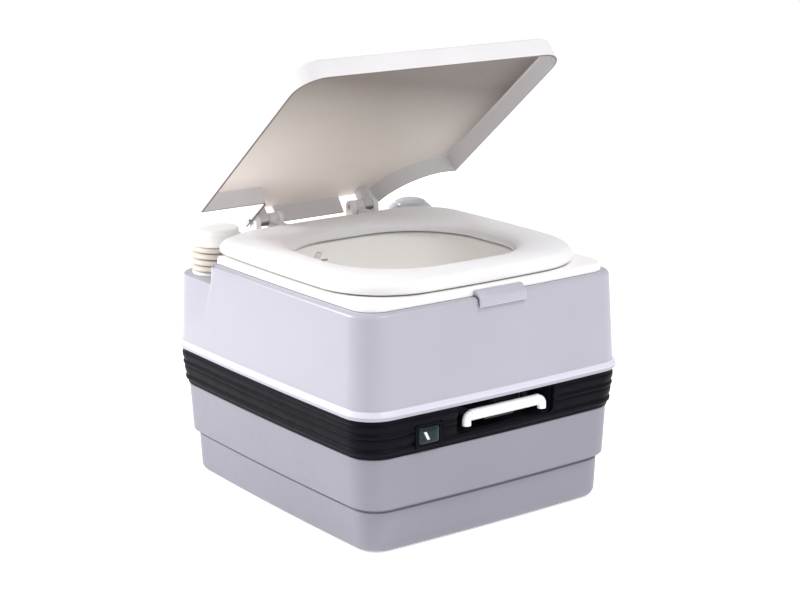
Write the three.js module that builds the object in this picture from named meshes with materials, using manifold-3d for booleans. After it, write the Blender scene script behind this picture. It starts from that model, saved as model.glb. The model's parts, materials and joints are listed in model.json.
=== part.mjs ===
// Portable camp toilet: a flush-water section with bowl, seat and lid, standing on a waste tank.
// Millimetres, +Z up. The front, with the pull handle, faces -Y, and +X is to the right of someone
// who looks at the front. The origin is on the floor, under the middle of the body.

import * as THREE from 'three';
import { mergeVertices } from 'three/addons/utils/BufferGeometryUtils.js';
import Module from 'manifold-3d';

const wasm = await Module();
wasm.setup();

// ---------------------------------------------------------------- driving dimensions

const WIDTH = 383; // over the lip
const DEPTH = 427;
const GAP = 0.3; // between pieces that touch
const WALL = 3.2; // moulded tank wall
const BOW = 2.5; // how far the middle of each side stands out past its ends

const STEP_Z = 53; // outward step of the waste tank
const BAND_Z = 112.5; // shoulder that carries the dark band
const WASTE_DECK_Z = 153; // top of the waste tank
const LIP_Z = 158; // underside of the flush section's lip
const LIP_HEIGHT = 10;
const RIM_Z = 273.5; // top edge of the flush section's wall
const DECK_Z = 282.5; // top of the deck round the bowl
const SEAT_Z = 284; // underside of the seat
const SEAT_HEIGHT = 19.5;

const HINGE_Y = 163;
const HINGE_Z = 305;
const LID_OPEN = THREE.MathUtils.degToRad(38.5); // angle of the lid as it stands

const PUMP = { x: -143, y: 163, radius: 31.5, capZ: 286 };
const PUMP_CORNER = { x: -100, y: 112, shelf: 250 }; // the body's corner is cut away round the pump
const FILLER = { x: 146, y: 163, radius: 28 };
const OUTLET = { x: 0, y: 12, radius: 46 }; // bowl outlet, slide valve and waste tank mouth
const HANDLE = { x: 6, length: 118, z: 142.5 };
const GAUGE = { x: -101, z: 132, pinY: -191 };
const SPOUT = { x: 132, y: 174, armZ: 128, radius: 20, bend: 26, mouthX: 44 };
const LATCH = { x: -72, y: 205.5, z: 132, width: 46 };
const VENT = { x: -120, y: 140 };
const NOZZLE = { x: -40, z: 264 };

// Hollows of the waste tank: the slide valve's well, the finger space behind the pull handle,
// the spout's recess and the latch's recess. Each is [x0, x1, y0, y1, z0].
const VALVE_WELL = [-68, 68, -170, 80, 126];
const FINGER_SPACE = [HANDLE.x - 69, HANDLE.x + 69, -230, -160, 124];
const SPOUT_RECESS = [4, 160, 146, 230, 96];
const LATCH_RECESS = [LATCH.x - 26, LATCH.x + 26, 192, 230, 74];

// ---------------------------------------------------------------- materials

function finish(color, roughness, metalness = 0) {
  return { color, roughness, metalness };
}
const COOL_WHITE = finish(0xe9e7f2, 0.42);
const WARM_WHITE = finish(0xf6f1ec, 0.3);
const TANK_GREY = finish(0xbdbbc6, 0.55);
const BAND_DARK = finish(0x191820, 0.5);
const VALVE_GREY = finish(0x55555c, 0.5);
const CAP_GREY = finish(0xc9c8cf, 0.35);
const RUBBER = finish(0x1d1d1f, 0.85);
const STEEL = finish(0xb9bcc0, 0.3, 1);
const CLEAR = finish(0x2b3a44, 0.08);
const SIGNAL_RED = finish(0xb7402f, 0.5);

// ---------------------------------------------------------------- solids

// A closed three.js geometry as a solid that can be joined and cut.
function solid(geometry) {
  const bare = geometry.clone();
  bare.deleteAttribute('normal');
  bare.deleteAttribute('uv');
  const merged = mergeVertices(bare, 1e-4);
  return new wasm.Manifold(new wasm.Mesh({
    numProp: 3,
    vertProperties: new Float32Array(merged.attributes.position.array),
    triVerts: new Uint32Array(merged.index.array),
  }));
}

function box(x0, x1, y0, y1, z0, z1) {
  const geometry = new THREE.BoxGeometry(x1 - x0, y1 - y0, z1 - z0);
  geometry.translate((x0 + x1) / 2, (y0 + y1) / 2, (z0 + z1) / 2);
  return solid(geometry);
}

// An upright cylinder.
function post(x, y, z0, z1, radius, sides = 20) {
  const geometry = new THREE.CylinderGeometry(radius, radius, z1 - z0, sides);
  geometry.rotateX(Math.PI / 2);
  geometry.translate(x, y, (z0 + z1) / 2);
  return solid(geometry);
}

// A cylinder along X.
function rodX(x0, x1, y, z, radius, sides = 16) {
  const geometry = new THREE.CylinderGeometry(radius, radius, x1 - x0, sides);
  geometry.rotateZ(Math.PI / 2);
  geometry.translate((x0 + x1) / 2, y, z);
  return solid(geometry);
}

// A cylinder along Y.
function rodY(x, y0, y1, z, radius, sides = 12) {
  const geometry = new THREE.CylinderGeometry(radius, radius, y1 - y0, sides);
  geometry.translate(x, (y0 + y1) / 2, z);
  return solid(geometry);
}

// A turned piece about the vertical line at (x, y). The profile is [radius, z] pairs.
function turned(x, y, profile, sides = 20) {
  const points = profile.map(([radius, z]) => new THREE.Vector2(radius, z));
  const geometry = new THREE.LatheGeometry(points, sides);
  geometry.rotateX(Math.PI / 2);
  geometry.translate(x, y, 0);
  return solid(geometry);
}

// A flat ring with a rectangular section.
function washer(x, y, z0, z1, inner, outer, sides = 16) {
  return turned(x, y, [[inner, z0], [outer, z0], [outer, z1], [inner, z1], [inner, z0]], sides);
}

// A round bar along a smooth line through the points.
function bar(points, radius, sides = 8, steps = 24) {
  const circle = new THREE.Shape();
  circle.absarc(0, 0, radius, 0, 2 * Math.PI);
  const extrudePath = new THREE.CatmullRomCurve3(points.map((point) => new THREE.Vector3(...point)));
  const settings = { steps, extrudePath, curveSegments: sides / 2 };
  return solid(new THREE.ExtrudeGeometry(circle, { ...settings, bevelEnabled: false }));
}

// A flat outline in the YZ plane, given as [y, z] pairs, pulled from x0 to x1.
function profileX(x0, x1, outline) {
  const shape = new THREE.Shape(outline.map(([y, z]) => new THREE.Vector2(y, z)));
  const geometry = new THREE.ExtrudeGeometry(shape, { depth: x1 - x0, bevelEnabled: false });
  geometry.rotateY(Math.PI / 2);
  geometry.rotateX(Math.PI / 2);
  geometry.translate(x0, 0, 0);
  return solid(geometry);
}

// The points of a rounded rectangle at height z, counter-clockwise seen from above.
// Its sides bow outwards, and halfX and halfY reach to the middle of the bow.
function outline({ halfX, halfY, radius, rearRadius = radius, x = 0, y = 0, z, bow = 0 }) {
  const cornerSteps = 4;
  const sideSteps = 2;
  const points = [];
  const corners = [
    { sx: 1, sy: 1, start: 0, r: rearRadius },
    { sx: -1, sy: 1, start: 1, r: rearRadius },
    { sx: -1, sy: -1, start: 2, r: radius },
    { sx: 1, sy: -1, start: 3, r: radius },
  ];
  const arcs = corners.map(({ sx, sy, start, r }) => {
    const centre = [sx * (halfX - bow - r), sy * (halfY - bow - r)];
    const arc = [];
    for (let i = 0; i <= cornerSteps; i += 1) {
      const angle = (start + i / cornerSteps) * Math.PI / 2;
      arc.push([centre[0] + r * Math.cos(angle), centre[1] + r * Math.sin(angle)]);
    }
    return arc;
  });
  arcs.forEach((arc, index) => {
    points.push(...arc);
    const from = arc[cornerSteps];
    const to = arcs[(index + 1) % 4][0];
    const outward = [[0, 1], [-1, 0], [0, -1], [1, 0]][index];
    for (let i = 1; i < sideSteps; i += 1) {
      const t = i / sideSteps;
      const out = bow * (1 - (2 * t - 1) ** 2);
      points.push([0, 1].map((k) => from[k] + (to[k] - from[k]) * t + outward[k] * out));
    }
  });
  return points.map(([px, py]) => [x + px, y + py, z]);
}

// A solid through a stack of outlines with equal point counts, from the lowest to the highest.
function loft(rings) {
  const count = rings[0].length;
  const vertices = rings.flat();
  const triangles = [];
  for (let level = 0; level < rings.length - 1; level += 1) {
    for (let i = 0; i < count; i += 1) {
      const a = level * count + i;
      const b = level * count + (i + 1) % count;
      triangles.push(a, b, b + count, a, b + count, a + count);
    }
  }
  const cap = (ring, offset, up) => {
    const centre = vertices.length;
    const mean = [0, 1, 2].map((k) => ring.reduce((sum, point) => sum + point[k], 0) / count);
    vertices.push(mean);
    for (let i = 0; i < count; i += 1) {
      const next = offset + (i + 1) % count;
      triangles.push(...(up ? [offset + i, next, centre] : [next, offset + i, centre]));
    }
  };
  cap(rings[0], 0, false);
  cap(rings[rings.length - 1], (rings.length - 1) * count, true);
  return solid(meshGeometry(vertices, triangles));
}

// A ring whose section goes from an outer outline to an inner one with equal point counts.
// The section is a closed list of [share of the way inwards, z].
function frameRing(outer, inner, section) {
  const vertices = [];
  const triangles = [];
  const count = outer.length;
  const size = section.length;
  for (let i = 0; i < count; i += 1) {
    for (const [t, z] of section) {
      vertices.push([0, 1].map((k) => outer[i][k] + (inner[i][k] - outer[i][k]) * t).concat(z));
    }
  }
  for (let i = 0; i < count; i += 1) {
    const next = (i + 1) % count;
    for (let j = 0; j < size; j += 1) {
      const k = (j + 1) % size;
      const quad = [i * size + j, next * size + j, next * size + k, i * size + k];
      triangles.push(quad[0], quad[1], quad[2], quad[0], quad[2], quad[3]);
    }
  }
  return solid(meshGeometry(vertices, triangles));
}

function meshGeometry(vertices, triangles) {
  const geometry = new THREE.BufferGeometry();
  geometry.setAttribute('position', new THREE.Float32BufferAttribute(vertices.flat(), 3));
  geometry.setIndex(triangles);
  return geometry;
}

// A body-shaped solid: levels are [z, inset from the lip, corner radius].
function bodyLoft(levels) {
  return loft(levels.map(([z, inset, radius]) => outline({
    halfX: WIDTH / 2 - inset, halfY: DEPTH / 2 - inset, radius, z, bow: BOW,
  })));
}

// The space round the pump at the rear left corner, or the same space grown by a wall.
function pumpCorner(wall = 0) {
  const { x, y, shelf } = PUMP_CORNER;
  return box(-WIDTH, x + wall, y - wall, DEPTH, shelf - wall, SEAT_Z + SEAT_HEIGHT);
}

// A hollow of the waste tank, or the same hollow grown by its wall.
function hollow([x0, x1, y0, y1, z0], wall = 0) {
  return box(x0 - wall, x1 + wall, y0 - wall, y1 + wall, z0 - wall, LIP_Z + 5);
}

function union(first, ...others) {
  return others.reduce((sum, other) => sum.add(other), first);
}

function cut(first, ...others) {
  return others.reduce((rest, other) => rest.subtract(other), first);
}

// ---------------------------------------------------------------- assembly

const toilet = new THREE.Group();
const wasteSection = new THREE.Group();
const flushSection = new THREE.Group();
toilet.add(wasteSection, flushSection);

function piece(name, shape, look, group) {
  const { vertProperties, triVerts } = shape.getMesh();
  const geometry = new THREE.BufferGeometry();
  geometry.setAttribute('position', new THREE.BufferAttribute(new Float32Array(vertProperties), 3));
  geometry.setIndex(new THREE.BufferAttribute(new Uint32Array(triVerts), 1));
  geometry.computeVertexNormals();
  const mesh = new THREE.Mesh(geometry, new THREE.MeshStandardMaterial(look));
  mesh.name = name;
  group.add(mesh);
  return mesh;
}

// ---------------------------------------------------------------- waste tank and band

const GAUGE_WINDOW = [GAUGE.x - 18, GAUGE.x + 18, -230, -190, 118, 146];
const PIN_HOLE = 6; // depth of the latch pin's holes
const BRIDGE_Z = 151; // the band bridges the latch's recess above this height

function wasteTank() {
  const outside = bodyLoft([
    [0, 28, 24], [1.5, 23.5, 27], [6, 20.5, 30], [14, 19.5, 31], [STEP_Z - 4, 17.5, 32],
    [STEP_Z + 1, 11.5, 36], [BAND_Z, 8.5, 37], [BAND_Z, 12.5, 34],
    [WASTE_DECK_Z - 3, 10.5, 34], [WASTE_DECK_Z, 13.5, 32],
  ]);
  const inside = cut(
    bodyLoft([
      [WALL, 31, 21], [7, 24, 26], [15, 22.8, 28], [STEP_Z - 3, 20.8, 29], [STEP_Z + 2, 15, 33],
      [BAND_Z - 3, 12, 34], [BAND_Z + 2, 15.8, 31], [WASTE_DECK_Z - WALL - 2, 14, 31],
      [WASTE_DECK_Z - WALL, 16, 29],
    ]),
    ...[VALVE_WELL, FINGER_SPACE, SPOUT_RECESS, LATCH_RECESS].map((space) => hollow(space, WALL)),
    post(VENT.x, VENT.y, 136, LIP_Z, 15, 24),
  );
  return cut(
    outside,
    inside,
    ...[VALVE_WELL, FINGER_SPACE, SPOUT_RECESS, LATCH_RECESS].map((space) => hollow(space)),
    box(...GAUGE_WINDOW),
    post(OUTLET.x, OUTLET.y, 115, 130, OUTLET.radius),
    post(SPOUT.x, SPOUT.y, 90, 100, 19),
    post(VENT.x, VENT.y, 139, LIP_Z, 12, 24),
    post(VENT.x, VENT.y, 130, 145, 4.3, 16),
  );
}

// The dark band: four round ridges round the tank, open at the handle, gauge, spout and latch.
function bandCollar() {
  const bottom = BAND_Z + GAP;
  const top = LIP_Z - GAP;
  const ridges = 4;
  const pitch = (top - bottom) / ridges;
  const insetAt = (z) => 6.5 - 5 * (z - bottom) / (top - bottom);
  const levels = [];
  for (let i = 0; i < ridges; i += 1) {
    for (const [share, depth] of [[0, 2.2], [0.3, 0], [0.7, 0]]) {
      const z = bottom + pitch * (i + share);
      levels.push([z, insetAt(z) + depth, 37]);
    }
  }
  levels.push([top, insetAt(top) + 2.2, 37]);
  return cut(
    bodyLoft(levels),
    bodyLoft([[BAND_Z - 1, 12.2, 34], [LIP_Z, 9.8, 34]]),
    hollow(FINGER_SPACE),
    hollow(SPOUT_RECESS),
    box(...LATCH_RECESS, BRIDGE_Z),
    box(...GAUGE_WINDOW),
    rodX(LATCH.x - 26 - PIN_HOLE, LATCH.x + 26 + PIN_HOLE, LATCH.y, LATCH.z, 2.3, 12),
  );
}

piece('waste_tank', wasteTank(), TANK_GREY, wasteSection);
piece('band_collar', bandCollar(), BAND_DARK, wasteSection);

// ---------------------------------------------------------------- slide valve

const VALVE = { halfX: 64, front: -158, back: 76, bottom: 126.3, split: 137, top: 147 };
const BLADE = { halfX: 53, front: -42, back: 66, bottom: 135.2, top: 139.2 };
const STEM_HALF = 16;
const SCREW_PLACES = [[-58.5, -140], [58.5, -140], [-58.5, 60], [58.5, 60]];
const screwHoles = SCREW_PLACES.map(([x, y]) => post(x, y, 129.2, 149, 2.3, 8));

// The flat channel that the blade runs in, with the stem's slot through the front.
function bladeChannel() {
  const z0 = BLADE.bottom - GAP;
  const z1 = BLADE.top + GAP;
  return union(
    box(-BLADE.halfX - GAP, BLADE.halfX + GAP, VALVE.front + 8, BLADE.back + 2, z0, z1),
    box(-STEM_HALF - 1, STEM_HALF + 1, VALVE.front - 5, VALVE.front + 10, z0, z1),
  );
}

function valveBasePlate() {
  return cut(
    box(-VALVE.halfX, VALVE.halfX, VALVE.front, VALVE.back, VALVE.bottom, VALVE.split - GAP),
    bladeChannel(),
    post(OUTLET.x, OUTLET.y, 120, 140, OUTLET.radius),
    post(OUTLET.x, OUTLET.y, 131, 140, 50.3),
    ...screwHoles,
  );
}

function valveCoverPlate() {
  return cut(
    union(
      box(-VALVE.halfX, VALVE.halfX, VALVE.front, VALVE.back, VALVE.split, VALVE.top),
      post(OUTLET.x, OUTLET.y, VALVE.top - 1, 150, 55),
    ),
    bladeChannel(),
    post(OUTLET.x, OUTLET.y, 120, 155, OUTLET.radius),
    ...screwHoles,
  );
}

function valveBlade() {
  return union(
    box(-BLADE.halfX, BLADE.halfX, BLADE.front, BLADE.back, BLADE.bottom, BLADE.top),
    box(-STEM_HALF, STEM_HALF, -198, BLADE.front + 1, BLADE.bottom, BLADE.top),
  );
}

// The pull handle: a grip bar whose ends turn down, with a socket that takes the blade's stem.
function pullHandle() {
  const half = HANDLE.length / 2;
  const grip = (dy, dz, x0, x1) => {
    const section = new THREE.Shape();
    section.absellipse(0, 0, dy, dz, 0, 2 * Math.PI);
    const settings = { depth: x1 - x0, curveSegments: 4, bevelEnabled: false };
    const geometry = new THREE.ExtrudeGeometry(section, settings);
    geometry.rotateY(Math.PI / 2);
    geometry.rotateX(Math.PI / 2);
    geometry.translate(x0, -205.5, HANDLE.z);
    return solid(geometry);
  };
  const ends = [HANDLE.x - half, HANDLE.x + half - 9].map((x0) => (
    box(x0, x0 + 9, -209.5, -202.5, 129, HANDLE.z)
  ));
  const socket = cut(
    box(-STEM_HALF - 5, STEM_HALF + 5, -205, -184, BLADE.bottom - 3, BLADE.top + 4),
    box(-STEM_HALF - GAP, STEM_HALF + GAP, -199, -180, BLADE.bottom - GAP, BLADE.top + GAP),
  );
  return union(grip(5.5, 5.8, HANDLE.x - half, HANDLE.x + half), ...ends, socket);
}

piece('valve_base_plate', valveBasePlate(), VALVE_GREY, wasteSection);
piece('valve_cover_plate', valveCoverPlate(), VALVE_GREY, wasteSection);
piece('valve_blade', valveBlade(), VALVE_GREY, wasteSection);
piece('pull_handle', pullHandle(), COOL_WHITE, wasteSection);
piece('valve_lip_seal', washer(OUTLET.x, OUTLET.y, 131.3, 134.9, 44, 49.4), RUBBER, wasteSection);
piece('outlet_gasket', washer(OUTLET.x, OUTLET.y, 150.3, 154.2, 45, 54), RUBBER, wasteSection);
SCREW_PLACES.forEach(([x, y], index) => {
  const screw = union(post(x, y, 129.5, 148, 1.9, 8), post(x, y, 147.3, 149.7, 4.2, 12));
  piece(`valve_screw_${index + 1}`, screw, STEEL, wasteSection);
});

// ---------------------------------------------------------------- level gauge

const GAUGE_FACE_Y = -208.5;
const SLOT_HALF = 4.5;

function gaugeHousing() {
  const { x, z, pinY } = GAUGE;
  const lug = (x0) => box(x0, x0 + 2.5, -198, pinY + 5, z - 5, z + 5);
  return cut(
    union(
      box(x - 17.7, x + 17.7, GAUGE_FACE_Y, -197, 118.3, 145.7),
      lug(x - SLOT_HALF - 2.5),
      lug(x + SLOT_HALF),
    ),
    box(x - 14, x + 14, GAUGE_FACE_Y - 1, -205.5, 121.5, 142.5),
    box(x - SLOT_HALF, x + SLOT_HALF, GAUGE_FACE_Y, -190, 123, 141),
    rodX(x - 10, x + 10, pinY, z, 1.8, 12),
  );
}

// A thin window with a sloping front face.
function gaugeLens() {
  const { x } = GAUGE;
  return profileX(x - 13.7, x + 13.7, [
    [-205.8, 121.8], [-205.8, 142.2], [-208.2, 142.2], [-211, 126], [-210, 121.8],
  ]);
}

// The lever: a hub on the pin, a short pointer behind the window and a long arm to the float.
const FLOAT = { y: -148, z: 68, radius: 12 };

function gaugeArm() {
  const { x, z, pinY } = GAUGE;
  return cut(
    union(
      rodX(x - 4, x + 4, pinY, z, 4, 16),
      bar([[x, pinY, z], [x, pinY - 5, z + 2.3], [x, -201.5, z + 4.8]], 1.6, 8, 4),
      bar([[x, pinY, z], [x, -170, 100.6], [x, FLOAT.y, FLOAT.z]], 2, 8, 6),
    ),
    rodX(x - 10, x + 10, pinY, z, 1.8, 12),
  );
}

function gaugeFloat() {
  const { x } = GAUGE;
  return cut(
    rodX(x - 15, x + 15, FLOAT.y, FLOAT.z, FLOAT.radius, 20),
    bar([[x, GAUGE.pinY, GAUGE.z], [x, -170, 100.6], [x, FLOAT.y + 2, FLOAT.z - 3]], 2.5, 8, 6),
  );
}

piece('gauge_housing', gaugeHousing(), BAND_DARK, wasteSection);
piece('gauge_lens', gaugeLens(), CLEAR, wasteSection);
piece('gauge_pin', rodX(GAUGE.x - 8, GAUGE.x + 8, GAUGE.pinY, GAUGE.z, 1.5, 12), STEEL, wasteSection);
piece('gauge_arm', gaugeArm(), SIGNAL_RED, wasteSection);
piece('gauge_float', gaugeFloat(), WARM_WHITE, wasteSection);

// ---------------------------------------------------------------- vent button

function ventButton() {
  return turned(VENT.x, VENT.y, [
    [0, 128], [3.5, 128], [3.5, 149], [9, 149], [9.5, 150], [9.5, 155.5], [8, 157], [0, 157],
  ], 24);
}

function ventSpring() {
  const turns = 3;
  const stepsPerTurn = 8;
  const points = [];
  for (let i = 0; i <= turns * stepsPerTurn; i += 1) {
    const angle = i / stepsPerTurn * 2 * Math.PI;
    const z = 140.1 + 7.8 * i / (turns * stepsPerTurn);
    points.push([VENT.x + 6.5 * Math.cos(angle), VENT.y + 6.5 * Math.sin(angle), z]);
  }
  return bar(points, 0.7, 4, turns * stepsPerTurn);
}

piece('vent_button', ventButton(), VALVE_GREY, wasteSection);
piece('vent_spring', ventSpring(), STEEL, wasteSection);
piece('vent_seal', washer(VENT.x, VENT.y, 132.5, 135.5, 3.8, 8, 24), RUBBER, wasteSection);

// ---------------------------------------------------------------- pour-out spout

// The spout's centre line: up from the swivel, round the bend and along to the mouth.
function spoutLine(below, beyond) {
  const { x, y, armZ, bend, mouthX } = SPOUT;
  const points = [[x, y, below], [x, y, (below + armZ - bend) / 2]];
  const bendSteps = 6;
  for (let i = 0; i <= bendSteps; i += 1) {
    const angle = i / bendSteps * Math.PI / 2;
    points.push([x - bend * (1 - Math.cos(angle)), y, armZ - bend + bend * Math.sin(angle)]);
  }
  points.push([(x - bend + mouthX) / 2, y, armZ], [mouthX - beyond, y, armZ]);
  return points;
}

function spoutElbow() {
  const { x, y, radius, armZ, mouthX } = SPOUT;
  return cut(
    union(
      bar(spoutLine(99, 0), radius, 14, 9),
      post(x, y, 98.3, 102, 25),
      post(x, y, 87, 99, 18.6),
      rodX(mouthX + 2, mouthX + 5, y, armZ, radius + 1.4),
      rodX(mouthX + 8, mouthX + 11, y, armZ, radius + 1.4),
    ),
    bar(spoutLine(80, 5), radius - 3.5, 12, 9),
  );
}

function spoutCap() {
  const { y, armZ, mouthX } = SPOUT;
  return cut(
    rodX(mouthX - 5, mouthX + 14, y, armZ, 25, 20),
    rodX(mouthX - 2, mouthX + 15, y, armZ, 22),
  );
}

function spoutCapSeal() {
  const { y, armZ, mouthX } = SPOUT;
  return rodX(mouthX - 1.7, mouthX - 0.3, y, armZ, 20.5);
}

piece('spout_elbow', spoutElbow(), TANK_GREY, wasteSection);
piece('spout_oring', washer(SPOUT.x, SPOUT.y, 96.3, 98, 19.2, 24), RUBBER, wasteSection);
piece('spout_retainer', washer(SPOUT.x, SPOUT.y, 88.5, 92.5, 19.4, 22.8), VALVE_GREY, wasteSection);
piece('spout_cap', spoutCap(), VALVE_GREY, wasteSection);
piece('spout_cap_seal', spoutCapSeal(), RUBBER, wasteSection);

// ---------------------------------------------------------------- rear latch

// The latch hangs in its recess. Swung up, its nose goes over the flush section's lip.
function rearLatch() {
  const { x, y, z, width } = LATCH;
  const x0 = x - width / 2;
  const x1 = x + width / 2;
  const plate = box(x0, x1, y - 11.3, y - 8.3, z - 44, z + 4);
  const nose = box(x0, x1, y - 9, y - 4.8, z - 43, z - 37.6);
  const arm = box(x0, x1, y - 9, y, z - 4, z + 4);
  return cut(union(plate, nose, arm, rodX(x0, x1, y, z, 4.3)), rodX(x0 - 1, x1 + 1, y, z, 2.3, 12));
}

piece('rear_latch', rearLatch(), BAND_DARK, wasteSection);
piece('rear_latch_pin', rodX(LATCH.x - 31, LATCH.x + 31, LATCH.y, LATCH.z, 2, 12), STEEL, wasteSection);

// ---------------------------------------------------------------- flush section: shell and floor

const FLANGE_Z = 268; // underside of the inward flange that carries the deck

function upperShell() {
  const outside = bodyLoft([
    [LIP_Z, 1.5, 38], [LIP_Z + 2, 0, 39], [LIP_Z + LIP_HEIGHT - 2, 0, 39],
    [LIP_Z + LIP_HEIGHT, 1.5, 38], [LIP_Z + LIP_HEIGHT + 0.8, 3.6, 37],
    [262, 8.2, 36], [268, 9, 35], [271.5, 11.2, 33], [RIM_Z, 15, 30],
  ]);
  const socket = bodyLoft([[LIP_Z - 1, 7.8, 32], [163, 7.8, 32]]);
  const cavity = bodyLoft([[162, 10, 30], [FLANGE_Z, 12.8, 31]]);
  const mouth = bodyLoft([[FLANGE_Z - 1, 30, 20], [RIM_Z + 1, 30, 20]]);
  const corner = pumpCorner(WALL).intersect(outside);
  return cut(
    union(cut(outside, socket, cavity, mouth), corner),
    pumpCorner(),
    post(PUMP.x, PUMP.y, 200, 300, 12.4, 24),
    post(FILLER.x, FILLER.y, FLANGE_Z - 1, RIM_Z + 1, 24),
  );
}

function tankFloor() {
  const plate = bodyLoft([[158.3, 8.1, 32], [161.9, 8.1, 32]]);
  return cut(plate, post(OUTLET.x, OUTLET.y, 150, 170, 50.4));
}

piece('upper_shell', upperShell(), COOL_WHITE, flushSection);
piece('tank_floor', tankFloor(), COOL_WHITE, flushSection);

// ---------------------------------------------------------------- deck and bowl

const BOWL_Y = -20;
const BOWL_WALL = 3;
const BOWL_BOTTOM_Z = 154.5;
// Bowl levels from the outlet up: [z, half width, half depth, corner radius, y of the middle].
const BOWL_LEVELS = [
  [BOWL_BOTTOM_Z, 44, 44, 44, OUTLET.y],
  [172, 44, 44, 44, OUTLET.y],
  [180, 56, 56, 54, 9],
  [200, 86, 84, 76, 0],
  [228, 108, 103, 86, -12],
  [262, 121, 115, 92, BOWL_Y],
  [278, 125, 119, 94, BOWL_Y],
];
const BOWL_MOUTH = [128, 122, 96, BOWL_Y]; // as the levels, at the top of the deck

function bowlLoft(grow, levels) {
  return loft(levels.map(([z, halfX, halfY, radius, y]) => outline({
    halfX: halfX + grow, halfY: halfY + grow, radius: radius + grow - 0.01, y, z,
  })));
}

function deckBowl() {
  const underside = bodyLoft([[RIM_Z - 5, 21.5, 25], [279.3, 21.5, 25]]);
  const plate = cut(
    bodyLoft([
      [RIM_Z + GAP, 17.5, 28], [279, 18, 28], [281.5, 19.2, 27], [DECK_Z, 21.5, 25],
    ]),
    cut(underside, pumpCorner(WALL)),
  );
  const outer = bowlLoft(BOWL_WALL, [...BOWL_LEVELS, [DECK_Z - 0.2, ...BOWL_MOUTH]]);
  const thickOutlet = post(OUTLET.x, OUTLET.y, BOWL_BOTTOM_Z, 172, 50);
  const [, ...lowest] = BOWL_LEVELS[0];
  const inner = bowlLoft(0, [
    [BOWL_BOTTOM_Z - 1, ...lowest], ...BOWL_LEVELS, [DECK_Z, ...BOWL_MOUTH], [DECK_Z + 1, ...BOWL_MOUTH],
  ]);
  const neck = post(FILLER.x, FILLER.y, 279, 292, 23);
  return cut(
    union(plate, outer, thickOutlet, neck),
    inner,
    pumpCorner(),
    post(FILLER.x, FILLER.y, 270, 300, 19.5),
    rodY(NOZZLE.x, 80, 110, NOZZLE.z, 7.4),
  );
}

// The snap clip that holds the deck down at the front edge.
function deckClip() {
  return profileX(-31, 35, [
    [-208.3, 263], [-208.3, 272], [-204, 278.5], [-197.5, 280.8], [-196.3, 280.8], [-196.3, 274],
    [-203.2, 274], [-205.9, 270], [-205.9, 263],
  ]);
}

piece('deck_bowl', deckBowl(), WARM_WHITE, flushSection);
piece('deck_clip', deckClip(), COOL_WHITE, flushSection);

// ---------------------------------------------------------------- bellows pump and flush line

const PUMP_BASE = { bottom: 228, floor: 234, outletZ: 238, flange: PUMP_CORNER.shelf + GAP, top: 254 };

function pumpBase() {
  const { x, y } = PUMP;
  const { bottom, floor, outletZ, flange, top } = PUMP_BASE;
  const body = turned(x, y, [
    [4, bottom], [12, bottom], [12, flange], [30, flange], [30, top], [9, top], [9, floor],
    [4, floor], [4, bottom],
  ]);
  const outlet = cut(rodX(x + 11, x + 23, y, outletZ, 4.5, 16), rodX(x + 10, x + 25, y, outletZ, 3, 16));
  return cut(union(body, outlet), rodX(x + 6, x + 15, y, outletZ, 3, 16));
}

function checkValve() {
  const z0 = PUMP_BASE.floor + GAP;
  return post(PUMP.x, PUMP.y, z0, z0 + 1.7, 8.2, 24);
}

// Four folds in a thin tube, open at both ends.
function pumpBellows() {
  const folds = 4;
  const z0 = PUMP_BASE.top + GAP;
  const z1 = PUMP.capZ - GAP;
  const pitch = (z1 - z0) / folds;
  const outside = [[PUMP.radius - 5, z0]];
  for (let i = 0; i < folds; i += 1) {
    outside.push([PUMP.radius, z0 + pitch * (i + 0.5)], [PUMP.radius - 5, z0 + pitch * (i + 1)]);
  }
  const inside = outside.map(([radius, z]) => [radius - 1.6, z]).reverse();
  return turned(PUMP.x, PUMP.y, [...outside, ...inside, outside[0]]);
}

function pumpCap() {
  const z = PUMP.capZ;
  return turned(PUMP.x, PUMP.y, [
    [24, z], [31, z], [32, z + 1], [32, z + 8.5], [30.5, z + 10.5], [28, z + 11.2], [27.5, z + 12.5],
    [27.5, z + 17.5], [25, z + 19.8], [0, z + 20.4], [0, z + 17], [24, z + 17], [24, z],
  ]);
}

function flushHose() {
  const points = [
    [PUMP.x + 23.3, PUMP.y, PUMP_BASE.outletZ], [PUMP.x + 42, PUMP.y, PUMP_BASE.outletZ],
    [-78, 159, 243], [-50, 147, 258], [NOZZLE.x, 131, NOZZLE.z], [NOZZLE.x, 117.6, NOZZLE.z],
  ];
  const before = [PUMP.x + 21, PUMP.y, PUMP_BASE.outletZ];
  const after = [NOZZLE.x, 115, NOZZLE.z];
  return cut(bar(points, 5, 8, 10), bar([before, ...points, after], 3.2, 6, 12));
}

function flushNozzle() {
  const { x, z } = NOZZLE;
  return cut(
    union(
      rodY(x, 84, 103, z, 7, 20),
      rodY(x, 101.8, 104.5, z, 11, 20),
      rodY(x, 104, 117, z, 4.5, 16),
    ),
    rodY(x, 88, 118, z, 3, 12),
    box(x - 5, x + 5, 83, 89, z - 1.2, z + 1.2),
  );
}

function intakeTube() {
  return washer(PUMP.x, PUMP.y, 171, PUMP_BASE.bottom - GAP, 3.4, 5, 16);
}

function intakeStrainer() {
  const { x, y } = PUMP;
  const cup = turned(x, y, [
    [5.3, 180], [5.3, 170], [6.5, 168.5], [6.5, 164], [8, 164], [8, 180], [5.3, 180],
  ], 20);
  const slots = [0, 1, 2].map((i) => {
    const geometry = new THREE.BoxGeometry(24, 2, 4);
    geometry.rotateZ(i * Math.PI / 3);
    geometry.translate(x, y, 165);
    return solid(geometry);
  });
  return cut(cup, ...slots);
}

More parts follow.
